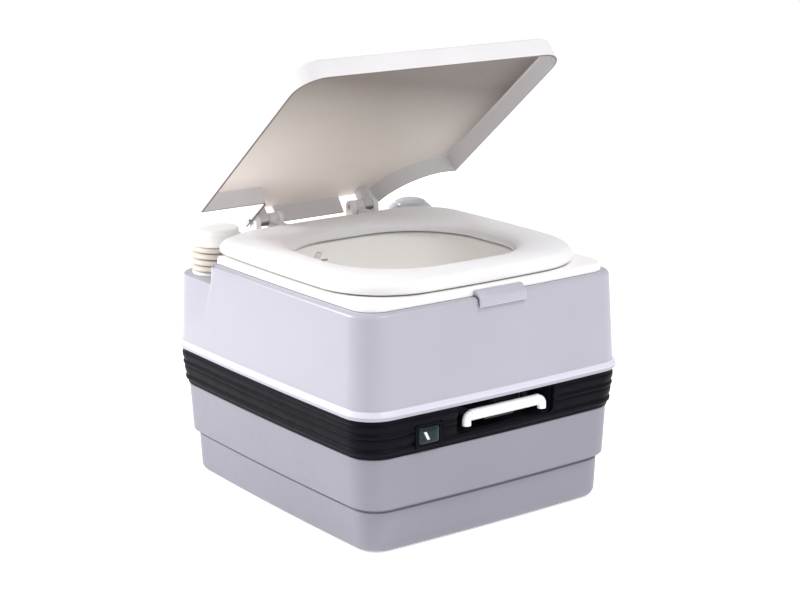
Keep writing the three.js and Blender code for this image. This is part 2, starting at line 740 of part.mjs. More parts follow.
piece('pump_base', pumpBase(), WARM_WHITE, flushSection);
piece('pump_check_valve', checkValve(), RUBBER, flushSection);
piece('pump_bellows', pumpBellows(), WARM_WHITE, flushSection);
piece('pump_cap', pumpCap(), WARM_WHITE, flushSection);
piece('intake_tube', intakeTube(), CAP_GREY, flushSection);
piece('intake_strainer', intakeStrainer(), CAP_GREY, flushSection);
piece('flush_hose', flushHose(), CAP_GREY, flushSection);
piece('flush_nozzle', flushNozzle(), WARM_WHITE, flushSection);

// ---------------------------------------------------------------- filler cap

// A domed cap over the filler neck.
function fillerCap() {
  const base = DECK_Z + GAP;
  const { x, y, radius } = FILLER;
  return turned(x, y, [
    [24, base], [radius - 0.8, base], [radius, base + 1], [radius, base + 9], [radius - 1.5, base + 11.5],
    [22, base + 17.5], [14, base + 21.5], [0, base + 23.3], [0, 295], [24, 295], [24, base],
  ]);
}

piece('filler_cap', fillerCap(), CAP_GREY, flushSection);
piece('filler_gasket', washer(FILLER.x, FILLER.y, 292.3, 294.6, 19.5, 23.5), RUBBER, flushSection);

// ---------------------------------------------------------------- seat

const BRACKET = { outer: 91, inner: 51, ear: 7 }; // X reach of a hinge bracket
const KNUCKLE = { lid: [71.3, 83.7], seat: [58.3, 70.7], radius: 7.5 };
const PIN_RADIUS = 3;
const PIN_BORE = 3.3;

function mirrored([x0, x1], side) {
  return side > 0 ? [x0, x1] : [-x1, -x0];
}

function seat() {
  const front = -188;
  const back = 150;
  const outer = outline({
    halfX: 169,
    halfY: (back - front) / 2,
    radius: 86,
    rearRadius: 46,
    y: (back + front) / 2,
    z: 0,
    bow: 2,
  });
  const inner = outline({ halfX: 123, halfY: 118, radius: 98, y: -24, z: 0 });
  const top = SEAT_Z + SEAT_HEIGHT;
  const ring = frameRing(outer, inner, [
    [0.03, SEAT_Z], [0, SEAT_Z + 2.5], [0.02, SEAT_Z + 9], [0.12, top - 4.5], [0.32, top - 0.8], [0.5, top],
    [0.72, top - 1.2], [0.9, top - 4.5], [1, top - 9.5], [0.98, SEAT_Z + 3], [0.94, SEAT_Z],
  ]);
  let shape = ring;
  for (const side of [-1, 1]) {
    const [x0, x1] = mirrored(KNUCKLE.seat, side);
    shape = union(
      shape,
      box(x0, x1, back - 14, HINGE_Y, SEAT_Z + 6, SEAT_Z + SEAT_HEIGHT - 1),
      rodX(x0, x1, HINGE_Y, HINGE_Z, KNUCKLE.radius),
    );
  }
  return cut(
    shape,
    post(PUMP.x, PUMP.y, 250, 320, 36.5),
    post(FILLER.x, FILLER.y, 250, 320, 32.5),
    rodX(-100, 100, HINGE_Y, HINGE_Z, PIN_BORE, 12),
  );
}

piece('seat', seat(), WARM_WHITE, flushSection);

// ---------------------------------------------------------------- lid

// The lid is drawn closed, with its origin on the hinge axis, and then opened.
const LID = { halfX: 185, front: -172 - HINGE_Y, back: 14.5, height: 25.5, wall: 3 };
const PUMP_NOTCH = { x: -95, y: 118 - HINGE_Y };
const FILLER_NOTCH = { x: 166, y: 172 - HINGE_Y, radius: 71 };

function lid() {
  const { halfX, front, back, height, wall } = LID;
  const layer = (z, inset, radius) => outline({
    halfX: halfX - inset,
    halfY: (back - front) / 2 - inset,
    radius,
    rearRadius: 12,
    y: (back + front) / 2,
    z,
    bow: 2,
  });
  const notches = (grow, z0, z1) => [
    box(-260, PUMP_NOTCH.x + grow, PUMP_NOTCH.y - grow, 60, z0, z1),
    post(FILLER_NOTCH.x, FILLER_NOTCH.y, z0, z1, FILLER_NOTCH.radius + grow, 48),
    box(FILLER_NOTCH.x, 260, FILLER_NOTCH.y - 63 - grow, 60, z0, z1),
  ];
  const outside = cut(
    loft([layer(0, 0, 34), layer(height - 6, 0.8, 34), layer(height - 2, 2.6, 33), layer(height, 6.5, 30)]),
    ...notches(0, -5, height + 5),
  );
  const inside = cut(
    loft([layer(-1, wall, 31), layer(height - 6, wall + 0.8, 31), layer(height - wall, wall + 3.5, 28)]),
    ...notches(wall, -5, height + 5),
  );
  // The rear wall is open over each hinge bracket, so that the lid swings past it.
  const bracketRoom = [-1, 1].map((side) => {
    const [x0, x1] = mirrored([BRACKET.inner - 2, BRACKET.outer + 2], side);
    return box(x0, x1, 6, back + 1, -1, height - wall);
  });
  let shape = cut(outside, inside, ...bracketRoom);
  for (const side of [-1, 1]) {
    const [x0, x1] = mirrored(KNUCKLE.lid, side);
    shape = union(shape, box(x0, x1, -7, 7, 0, height - 1), rodX(x0, x1, 0, 0, KNUCKLE.radius));
  }
  return cut(shape, rodX(-100, 100, 0, 0, PIN_BORE, 12));
}

const lidGroup = new THREE.Group();
lidGroup.position.set(0, HINGE_Y, HINGE_Z);
lidGroup.rotation.x = -LID_OPEN;
flushSection.add(lidGroup);
piece('lid', lid(), WARM_WHITE, lidGroup);

// ---------------------------------------------------------------- hinges

function hingeBracket(side) {
  const base = DECK_Z + GAP;
  const span = mirrored([BRACKET.inner, BRACKET.outer], side);
  const ears = [
    mirrored([BRACKET.inner, BRACKET.inner + BRACKET.ear], side),
    mirrored([BRACKET.outer - BRACKET.ear, BRACKET.outer], side),
  ].flatMap(([x0, x1]) => [
    box(x0, x1, HINGE_Y - 8, HINGE_Y + 8, base, HINGE_Z),
    rodX(x0, x1, HINGE_Y, HINGE_Z, 8),
  ]);
  return cut(
    union(box(...span, HINGE_Y - 8, HINGE_Y + 8, base, base + 4), ...ears),
    rodX(-110, 110, HINGE_Y, HINGE_Z, PIN_BORE, 12),
  );
}

for (const [label, side] of [['left', -1], ['right', 1]]) {
  const [x0, x1] = mirrored([BRACKET.inner, BRACKET.outer], side);
  piece(`hinge_bracket_${label}`, hingeBracket(side), WARM_WHITE, flushSection);
  piece(`hinge_pin_${label}`, rodX(x0, x1, HINGE_Y, HINGE_Z, PIN_RADIUS, 12), STEEL, flushSection);
}

export default toilet;
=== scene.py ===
"""Portable camp toilet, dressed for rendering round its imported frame.

Lengths are in millimetres up to the point where a mesh is made. The front, with the pull
handle, faces -Y, and +X is to the right of someone who looks at the front.
"""
import json
from math import asin, atan, atan2, cos, pi, radians, sin, sqrt, tan

import bmesh
import bpy
from mathutils import Matrix, Vector


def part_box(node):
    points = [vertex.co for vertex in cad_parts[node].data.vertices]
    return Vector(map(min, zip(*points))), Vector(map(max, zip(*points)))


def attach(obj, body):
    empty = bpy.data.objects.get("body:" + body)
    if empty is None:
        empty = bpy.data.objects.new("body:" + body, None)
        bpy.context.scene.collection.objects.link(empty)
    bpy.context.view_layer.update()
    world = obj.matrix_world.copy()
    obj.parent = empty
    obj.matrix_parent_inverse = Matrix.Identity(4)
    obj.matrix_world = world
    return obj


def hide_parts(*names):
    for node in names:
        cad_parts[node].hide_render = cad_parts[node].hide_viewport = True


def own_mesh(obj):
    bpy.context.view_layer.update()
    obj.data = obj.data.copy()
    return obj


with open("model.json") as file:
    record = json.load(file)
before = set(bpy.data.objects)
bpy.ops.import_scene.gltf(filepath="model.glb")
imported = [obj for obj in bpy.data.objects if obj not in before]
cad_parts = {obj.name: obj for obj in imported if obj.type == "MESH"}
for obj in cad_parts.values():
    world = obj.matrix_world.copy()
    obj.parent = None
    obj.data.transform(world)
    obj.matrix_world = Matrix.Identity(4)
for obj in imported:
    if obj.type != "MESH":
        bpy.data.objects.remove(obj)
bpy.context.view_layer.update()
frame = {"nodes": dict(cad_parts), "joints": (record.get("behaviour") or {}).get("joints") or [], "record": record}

MM = 0.001
GAP = 0.3  # between pieces that touch
X_AXIS = Vector((1, 0, 0))
Y_AXIS = Vector((0, 1, 0))
Z_AXIS = Vector((0, 0, 1))

# ------------------------------------------------------------------ places, from the frame


def box_mm(node):
    """Lowest and highest corner of a node."""
    return [[value / MM for value in corner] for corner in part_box(node)]


def middle_mm(node):
    low, high = box_mm(node)
    return [(a + b) / 2 for a, b in zip(low, high)]


def joint_mm(name):
    joint = next(item for item in frame["joints"] if item["name"] == name)
    return [value / MM for value in joint["pos_m"]]


SHELL_LOW, SHELL_HIGH = box_mm("upper_shell")
HALF_X = SHELL_HIGH[0]
HALF_Y = SHELL_HIGH[1]
LIP_Z = SHELL_LOW[2]  # underside of the lip
RIM_Z = SHELL_HIGH[2]  # top of the flush section's wall
TANK_TOP_Z = box_mm("waste_tank")[1][2]
BAND_LOW_Z = box_mm("band_collar")[0][2]
BAND_TOP_Z = box_mm("band_collar")[1][2]
DECK_Z = box_mm("hinge_bracket_left")[0][2] - GAP
SEAT_Z = box_mm("seat")[0][2]
_, HINGE_Y, HINGE_Z = joint_mm("lid_hinge")
PUMP_X, PUMP_Y, _ = middle_mm("pump_cap")
FILLER_X, FILLER_Y, _ = middle_mm("filler_cap")
SPOUT_X, SPOUT_Y, SPOUT_Z = joint_mm("spout_swivel")
OUTLET_Y = middle_mm("outlet_gasket")[1]

BOW = 2.5  # how far the middle of each side stands out past its ends
WALL = 3.2
STEP_Z = 53  # outward step of the waste tank
SHOULDER_Z = BAND_LOW_Z - GAP
FLANGE_Z = RIM_Z - 5.5
OUTLET_RADIUS = 46

# Hollows of the waste tank, as (x0, x1, y0, y1, z0); each is open upwards.
VALVE_WELL = (-68, 68, -170, 80, 126)
FINGER_SPACE = (-63, 75, -230, -160, 124)
SPOUT_RECESS = (4, 160, 146, 230, 96)
LATCH_RECESS = (-98, -46, 192, 230, 74)
BRIDGE_Z = 151  # the band bridges the latch's recess above this height

# The corner of the flush section that is cut away round the pump.
PUMP_CORNER_X = -100
PUMP_CORNER_Y = 112
PUMP_SHELF_Z = box_mm("pump_base")[1][2] - 4

# ------------------------------------------------------------------ outlines and profiles


def outline(half_x, half_y, radius, z, y=0.0, bow=0.0, rear_radius=None, corner_steps=14,
            side_steps=10):
    """A rounded rectangle, counter-clockwise from above, whose sides bow outwards."""
    rear = radius if rear_radius is None else rear_radius
    radii = (rear, rear, radius, radius)
    halves = (half_y, half_x, half_y, half_x)
    spans = [2 * (halves[i] - bow) - radii[i - 1] - radii[i] for i in range(4)]
    slopes = [atan(4 * bow / span) if bow else 0.0 for span in spans]
    signs = ((1, 1), (-1, 1), (-1, -1), (1, -1))
    arcs = []
    for i, (sx, sy) in enumerate(signs):
        start = i * pi / 2 + slopes[i]
        end = (i + 1) * pi / 2 - slopes[(i + 1) % 4]
        cx = sx * (half_x - bow - radii[i])
        cy = sy * (half_y - bow - radii[i])
        angles = [start + (end - start) * k / corner_steps for k in range(corner_steps + 1)]
        arcs.append([(cx + radii[i] * cos(a), cy + radii[i] * sin(a)) for a in angles])
    outward = ((0, 1), (-1, 0), (0, -1), (1, 0))
    points = []
    for i, arc in enumerate(arcs):
        points += arc
        (ax, ay), (bx, by) = arc[-1], arcs[(i + 1) % 4][0]
        for k in range(1, side_steps):
            t = k / side_steps
            out = bow * (1 - (2 * t - 1) ** 2)
            points.append((ax + (bx - ax) * t + outward[i][0] * out,
                           ay + (by - ay) * t + outward[i][1] * out))
    return [(px, py + y, z) for px, py in points]


def filleted(corners, closed=False, steps=5):
    """A polyline whose corners, given as (a, b, fillet radius), are rounded."""
    count = len(corners)
    points = []
    for i, (a, b, radius) in enumerate(corners):
        corner = Vector((a, b))
        if not radius or (not closed and i in (0, count - 1)):
            points.append(corner)
            continue
        before = Vector(corners[i - 1][:2]) - corner
        after = Vector(corners[(i + 1) % count][:2]) - corner
        half = before.angle(after) / 2
        reach = min(radius / tan(half), 0.49 * before.length, 0.49 * after.length)
        before.normalize()
        after.normalize()
        centre = corner + (before + after).normalized() * (reach / cos(half))
        start = corner + before * reach - centre
        end = corner + after * reach - centre
        turn = pi - 2 * half
        for k in range(steps + 1):
            t = k / steps
            spoke = start * sin((1 - t) * turn) + end * sin(t * turn)
            points.append(centre + spoke / sin(turn))
    return points


def spline(rows, steps):
    """Catmull-Rom rows between the given ones."""
    result = []
    last = len(rows) - 1
    for i in range(last):
        a, b, c, d = (rows[max(0, min(last, i + k))] for k in (-1, 0, 1, 2))
        for k in range(steps):
            t = k / steps
            result.append([
                0.5 * (2 * q + (r - p) * t + (2 * p - 5 * q + 4 * r - s) * t ** 2
                       + (3 * q - p - 3 * r + s) * t ** 3)
                for p, q, r, s in zip(a, b, c, d)])
    return result + [list(rows[-1])]


def tank_radius(inset):
    """Corner radius of the waste tank at an inset from the lip."""
    return max(44 - 0.7 * inset, 2)


def shell_radius(inset):
    """Corner radius of the flush section at an inset from the lip."""
    return max(40 - 0.7 * inset, 2)


# ------------------------------------------------------------------ meshes


def make(name, vertices, faces):
    mesh = bpy.data.meshes.new(name)
    mesh.from_pydata([[value * MM for value in vertex] for vertex in vertices], [], faces)
    work = bmesh.new()
    work.from_mesh(mesh)
    bmesh.ops.remove_doubles(work, verts=work.verts, dist=2e-7)
    bmesh.ops.recalc_face_normals(work, faces=work.faces)
    work.to_mesh(mesh)
    work.free()
    obj = bpy.data.objects.new(name, mesh)
    bpy.context.scene.collection.objects.link(obj)
    return obj


def loft(name, rings, closed=False):
    """A skin over rings of equal length, capped at both ends unless it closes on itself."""
    count = len(rings[0])
    vertices = [point for ring in rings for point in ring]
    faces = []
    for level in range(len(rings) if closed else len(rings) - 1):
        low = level * count
        high = (level + 1) % len(rings) * count
        for i in range(count):
            j = (i + 1) % count
            faces.append((low + i, low + j, high + j, high + i))
    if not closed:
        faces.append(tuple(reversed(range(count))))
        faces.append(tuple(range(len(vertices) - count, len(vertices))))
    return make(name, vertices, faces)


def body_loft(name, corners, radius_at, closed=False):
    """A body-shaped loft: corners are (inset from the lip, z, fillet radius)."""
    profile = filleted(corners, closed)
    rings = [outline(HALF_X - inset, HALF_Y - inset, radius_at(inset), z, bow=BOW)
             for inset, z in profile]
    return loft(name, rings, closed)


def turned(name, profile, origin, axis=Z_AXIS, closed=False, steps=72, flute=None):
    """A turned piece: profile points are (radius, height along the axis from the origin).

    flute(radius, height, angle) may change the radius, for grip ribs.
    """
    turn = Z_AXIS.rotation_difference(axis).to_matrix()
    rings = []
    for radius, height in profile:
        ring = []
        for i in range(steps):
            angle = 2 * pi * i / steps
            reach = flute(radius, height, angle) if flute else radius
            local = Vector((reach * cos(angle), reach * sin(angle), height))
            ring.append(Vector(origin) + turn @ local)
        rings.append(ring)
    return loft(name, rings, closed)


def rod(name, start, end, radius, rim=0.0, steps=48):
    """A round bar with rounded rims."""
    start, end = Vector(start), Vector(end)
    length = (end - start).length
    profile = filleted([(0, 0, 0), (radius, 0, rim), (radius, length, rim), (0, length, 0)], steps=3)
    return turned(name, profile, start, (end - start).normalized(), steps=steps)


def block(name, x0, x1, y0, y1, z0, z1, rounding=0.0, segments=4):
    """A box with rounded edges."""
    work = bmesh.new()
    bmesh.ops.create_cube(work, size=1.0)
    for vertex in work.verts:
        vertex.co = Vector(((x0 + x1) / 2 + vertex.co.x * (x1 - x0),
                            (y0 + y1) / 2 + vertex.co.y * (y1 - y0),
                            (z0 + z1) / 2 + vertex.co.z * (z1 - z0))) * MM
    if rounding:
        bmesh.ops.bevel(work, geom=work.edges[:], offset=rounding * MM, segments=segments,
                        profile=0.5, affect="EDGES")
    mesh = bpy.data.meshes.new(name)
    work.to_mesh(mesh)
    work.free()
    obj = bpy.data.objects.new(name, mesh)
    bpy.context.scene.collection.objects.link(obj)
    return obj


def sweep(name, path, half_width, half_height, up, closed_with=None, steps=24):
    """An oval bar along a flat path; `up` stands square to the path's plane.

    closed_with, a second pair of half sizes, makes it a tube with that bore.
    """
    def rings(width, height):
        result = []
        for i, point in enumerate(path):
            ahead = path[min(i + 1, len(path) - 1)]
            behind = path[max(i - 1, 0)]
            tangent = (ahead - behind).normalized()
            side = up.cross(tangent)
            angles = [2 * pi * k / steps for k in range(steps)]
            result.append([point + up * (width * cos(a)) + side * (height * sin(a)) for a in angles])
        return result
    outer = rings(half_width, half_height)
    if closed_with:
        return loft(name, outer + rings(*closed_with)[::-1], closed=True)
    return loft(name, outer)


def bake(obj):
    """Replace an object's mesh by what its modifiers make of it."""
    graph = bpy.context.evaluated_depsgraph_get()
    mesh = bpy.data.meshes.new_from_object(obj.evaluated_get(graph))
    old = obj.data
    obj.modifiers.clear()
    obj.data = mesh
    bpy.data.meshes.remove(old)
    return obj


def combine(obj, operation, *tools):
    for tool in tools:
        modifier = obj.modifiers.new("join", "BOOLEAN")
        modifier.operation = operation
        modifier.solver = "EXACT"
        modifier.object = tool
        bake(obj)
        bpy.data.objects.remove(tool, do_unlink=True)
    return obj


def cut(obj, *tools):
    return combine(obj, "DIFFERENCE", *tools)


def join(obj, *tools):
    return combine(obj, "UNION", *tools)


def soften(obj, width, angle=40, segments=2):
    """Round the edges that are sharper than the angle."""
    work = bmesh.new()
    work.from_mesh(obj.data)
    bmesh.ops.remove_doubles(work, verts=work.verts, dist=2e-5)
    bmesh.ops.dissolve_degenerate(work, edges=work.edges, dist=2e-5)
    work.to_mesh(obj.data)
    work.free()
    bevel = obj.modifiers.new("edges", "BEVEL")
    bevel.width = width * MM
    bevel.segments = segments
    bevel.limit_method = "ANGLE"
    bevel.angle_limit = radians(angle)
    bevel.use_clamp_overlap = False
    return bake(obj)


def place(obj, body, slot, *nodes, sharp=32):
    """Shade a finished piece, give it its material and hang it on its body."""
    obj.data.shade_smooth()
    obj.data.set_sharp_from_angle(angle=radians(sharp))
    obj.data.materials.clear()
    obj.data.materials.append(MATERIALS[slot])
    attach(obj, body)
    if nodes:
        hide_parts(*nodes)
    return obj


# ------------------------------------------------------------------ materials


class Nodes:
    """A material's node tree, with short calls for the few nodes used here."""

    def __init__(self, name):
        self.material = bpy.data.materials.new(name)
        self.material.use_nodes = True
        self.tree = self.material.node_tree
        self.bsdf = self.tree.nodes["Principled BSDF"]
        self.place = self.tree.nodes.new("ShaderNodeTexCoord").outputs["Object"]

    def link(self, output, target):
        self.tree.links.new(output, target)

    def noise(self, scale, detail=2.0, stretch=None, distortion=0.0):
        node = self.tree.nodes.new("ShaderNodeTexNoise")
        node.inputs["Scale"].default_value = scale
        node.inputs["Detail"].default_value = detail
        node.inputs["Distortion"].default_value = distortion
        source = self.place
        if stretch:
            mapping = self.tree.nodes.new("ShaderNodeMapping")
            mapping.inputs["Scale"].default_value = stretch
            self.link(source, mapping.inputs["Vector"])
            source = mapping.outputs["Vector"]
        self.link(source, node.inputs["Vector"])
        return node.outputs["Fac"]

    def remap(self, value, low, high, new_low, new_high):
        node = self.tree.nodes.new("ShaderNodeMapRange")
        node.inputs["From Min"].default_value = low
        node.inputs["From Max"].default_value = high
        node.inputs["To Min"].default_value = new_low
        node.inputs["To Max"].default_value = new_high
        self.link(value, node.inputs["Value"])
        return node.outputs["Result"]

    def add(self, first, second, factor=1.0):
        node = self.tree.nodes.new("ShaderNodeMath")
        node.operation = "MULTIPLY_ADD"
        node.inputs[1].default_value = factor
        self.link(second, node.inputs[0])
        self.link(first, node.inputs[2])
        return node.outputs["Value"]

    def mix(self, factor, first, second):
        node = self.tree.nodes.new("ShaderNodeMix")
        node.data_type = "RGBA"
        self.link(factor, node.inputs["Factor"])
        for value, socket in ((first, node.inputs["A"]), (second, node.inputs["B"])):
            if isinstance(value, tuple):
                socket.default_value = (*value, 1.0)
            else:
                self.link(value, socket)
        return node.outputs["Result"]

    def dot(self, vector, direction):
        node = self.tree.nodes.new("ShaderNodeVectorMath")
        node.operation = "DOT_PRODUCT"
        node.inputs[1].default_value = direction
        self.link(vector, node.inputs[0])
        return node.outputs["Value"]

    def facing(self, direction):
        """How far a face looks in a direction, from -1 to 1."""
        return self.dot(self.tree.nodes.new("ShaderNodeTexCoord").outputs["Normal"], direction)

    def along(self, direction):
        """How far a spot lies in a direction from the object's origin."""
        return self.dot(self.place, direction)

    def inside(self, low, high, blend=0.0008):
        """1 inside a box, 0 outside it."""
        masks = []
        for axis, a, b in zip((X_AXIS, Y_AXIS, Z_AXIS), low, high):
            reach = self.along(axis)
            masks.append(self.remap(reach, a - blend, a, 0, 1))
            masks.append(self.remap(reach, b, b + blend, 1, 0))
        result = masks[0]
        for mask in masks[1:]:
            node = self.tree.nodes.new("ShaderNodeMath")
            node.operation = "MINIMUM"
            self.link(result, node.inputs[0])
            self.link(mask, node.inputs[1])
            result = node.outputs["Value"]
        return result

    def pointiness(self):
        return self.tree.nodes.new("ShaderNodeNewGeometry").outputs["Pointiness"]

    def bump(self, height, distance, strength=1.0, below=None):
        node = self.tree.nodes.new("ShaderNodeBump")
        node.inputs["Distance"].default_value = distance
        node.inputs["Strength"].default_value = strength
        self.link(height, node.inputs["Height"])
        if below:
            self.link(below, node.inputs["Normal"])
        return node.outputs["Normal"]


BAND_COLOR = (0.0045, 0.004, 0.0075)


def scaled(color, factor):
    return tuple(min(1.0, channel * factor) for channel in color)


def plastic(name, color, roughness, grain=0.00004, grain_scale=900, peel=0.00012, mottle=0.05,
            coat=0.0, specular=0.5, scuff=0.12, grime_and_shade=0.18, edge_wear_and_highlight=0.12,
            glow=0.0, painted_underside_shade=None, painted_highlight_space=None, painted_shade_space=None):
    """Moulded plastic: fine grain, orange peel, soft blotches and scuffs. Convex edges are paler,
    partly wear and partly a painted highlight; hollows are darker, partly grime and partly
    painted shade.

    The last three arguments paint light and shade. The first is a direction, the two colours of
    painted shade on the faces that look that way, from high up to low down, how far along the
    direction the rim lies, and the colour of the painted shadow line along the rim. The other two
    are boxes, in metres, inside which the plastic is painted pale as a highlight, and painted with
    the band's colour as shade.
    """
    nodes = Nodes(name)
    blotches = nodes.noise(9, detail=4, distortion=0.6)
    shade = nodes.mix(nodes.remap(blotches, 0.3, 0.7, 0, 1), scaled(color, 1 - mottle),
                      scaled(color, 1 + mottle * 0.6))
    flow = nodes.noise(24, detail=3, stretch=(1, 1, 0.16), distortion=0.4)
    streaked = nodes.mix(nodes.remap(flow, 0.55, 0.8, 0, mottle * 4), shade, scaled(color, 1.06))
    # Paler convex edges: partly wear, partly a painted highlight.
    edges = nodes.remap(nodes.pointiness(), 0.52, 0.60, 0, edge_wear_and_highlight)
    pale_edged = nodes.mix(edges, streaked, scaled(color, 1.4))
    # Darker hollows: partly grime, partly painted shade.
    hollows = nodes.remap(nodes.pointiness(), 0.42, 0.485, grime_and_shade, 0)
    final = nodes.mix(hollows, pale_edged, scaled(color, 0.6))
    # Painted shade: faces that look down are dark high up and towards +X, pale low down near the hinge, with a
    # painted shadow line along the rim's edge.
    if painted_underside_shade:
        direction, high_color, low_color, rim, rim_color = painted_underside_shade
        drift = nodes.along((-0.165, 0, -1))
        tone = nodes.add(nodes.remap(drift, -0.486, -0.347, 0, 1), blotches, factor=mottle)
        inside = nodes.mix(tone, high_color, low_color)
        at_rim = nodes.remap(nodes.along(direction), rim - 0.004, rim - 0.003, 0, 1)
        inside = nodes.mix(at_rim, inside, rim_color)
        final = nodes.mix(nodes.remap(nodes.facing(direction), 0.55, 0.85, 0, 1), final, inside)
    # Painted highlight: the plastic is made pale inside the given box.
    if painted_highlight_space:
        final = nodes.mix(nodes.inside(*painted_highlight_space), final, scaled(color, 1.55))
    # Painted shade: the plastic takes the band's near-black colour inside the given box.
    if painted_shade_space:
        final = nodes.mix(nodes.inside(*painted_shade_space), final, BAND_COLOR)
    nodes.link(final, nodes.bsdf.inputs["Base Color"])

    rubbed = nodes.noise(70, detail=6, distortion=1.2)
    scuffs = nodes.noise(260, detail=3, stretch=(0.12, 1, 1), distortion=0.8)
    rough = nodes.add(nodes.remap(rubbed, 0.3, 0.75, roughness - 0.05, roughness + 0.07),
                      nodes.remap(scuffs, 0.62, 0.75, 0, 1), factor=scuff)
    nodes.link(rough, nodes.bsdf.inputs["Roughness"])

    peel_normal = nodes.bump(nodes.noise(140, detail=1), peel)
    grain_normal = nodes.bump(nodes.noise(grain_scale, detail=3), grain, below=peel_normal)
    nodes.link(grain_normal, nodes.bsdf.inputs["Normal"])
    nodes.bsdf.inputs["Specular IOR Level"].default_value = specular
    nodes.bsdf.inputs["Coat Weight"].default_value = coat
    nodes.bsdf.inputs["Coat Roughness"].default_value = 0.12
    nodes.bsdf.inputs["Subsurface Weight"].default_value = glow
    nodes.bsdf.inputs["Subsurface Scale"].default_value = 0.004
    return nodes.material


def rubber(name):
    nodes = Nodes(name)
    dust = nodes.remap(nodes.noise(60, detail=5), 0.45, 0.75, 0, 0.6)
    nodes.link(nodes.mix(dust, (0.012, 0.012, 0.013), (0.05, 0.05, 0.052)),
               nodes.bsdf.inputs["Base Color"])
    nodes.link(nodes.remap(nodes.noise(220, detail=4), 0.3, 0.7, 0.72, 0.9),
               nodes.bsdf.inputs["Roughness"])
    nodes.link(nodes.bump(nodes.noise(1400, detail=2), 0.00005), nodes.bsdf.inputs["Normal"])
    return nodes.material


def steel(name):
    nodes = Nodes(name)
    brushed = nodes.noise(700, detail=4, stretch=(0.05, 1, 1))
    nodes.link(nodes.mix(brushed, (0.50, 0.51, 0.52), (0.68, 0.69, 0.70)),
               nodes.bsdf.inputs["Base Color"])
    nodes.link(nodes.remap(brushed, 0.3, 0.7, 0.2, 0.38), nodes.bsdf.inputs["Roughness"])
    nodes.link(nodes.bump(brushed, 0.00003), nodes.bsdf.inputs["Normal"])
    nodes.bsdf.inputs["Metallic"].default_value = 1.0
    return nodes.material


def smoked_lens(name):
    """Dark clear plastic with a teal cast, rubbing marks, and a painted highlight: a slanted pale streak at its
    left.
    """
    nodes = Nodes(name)
    haze = nodes.noise(45, detail=3)
    dark = nodes.mix(haze, (0.004, 0.010, 0.014), (0.012, 0.034, 0.042))
    low, high = box_mm("gauge_lens")
    x, z = low[0] * 0.66 + high[0] * 0.34, (low[2] + high[2]) / 2
    # Painted highlight: a slanted pale streak on the lens's left part.
    lean = nodes.along((1, 0, 0.5))
    across = (x + 0.5 * z) * MM
    near = nodes.remap(lean, across - 0.0022, across - 0.0012, 0, 1)
    far = nodes.remap(lean, across + 0.0012, across + 0.0022, 1, 0)
    height = nodes.inside((-1, -1, (z - 4) * MM), (1, 1, (z + 4.5) * MM))
    painted_glint = nodes.mix(near, dark, (0.80, 0.86, 0.88))
    painted_glint = nodes.mix(far, dark, painted_glint)
    nodes.link(nodes.mix(height, dark, painted_glint), nodes.bsdf.inputs["Base Color"])
    marks = nodes.noise(320, detail=5, stretch=(0.1, 1, 1))
    nodes.link(nodes.remap(marks, 0.45, 0.75, 0.05, 0.16), nodes.bsdf.inputs["Roughness"])
    nodes.link(nodes.bump(nodes.noise(200, detail=1), 0.00002), nodes.bsdf.inputs["Normal"])
    nodes.bsdf.inputs["Specular IOR Level"].default_value = 0.2
    nodes.bsdf.inputs["Coat Weight"].default_value = 0.1
    nodes.bsdf.inputs["Coat Roughness"].default_value = 0.03
    return nodes.material


LID_ANGLE = radians(38.5)
LID_UNDERSIDE = (0, -sin(LID_ANGLE), -cos(LID_ANGLE))
LID_RIM = -(HINGE_Y * sin(LID_ANGLE) + HINGE_Z * cos(LID_ANGLE)) * MM

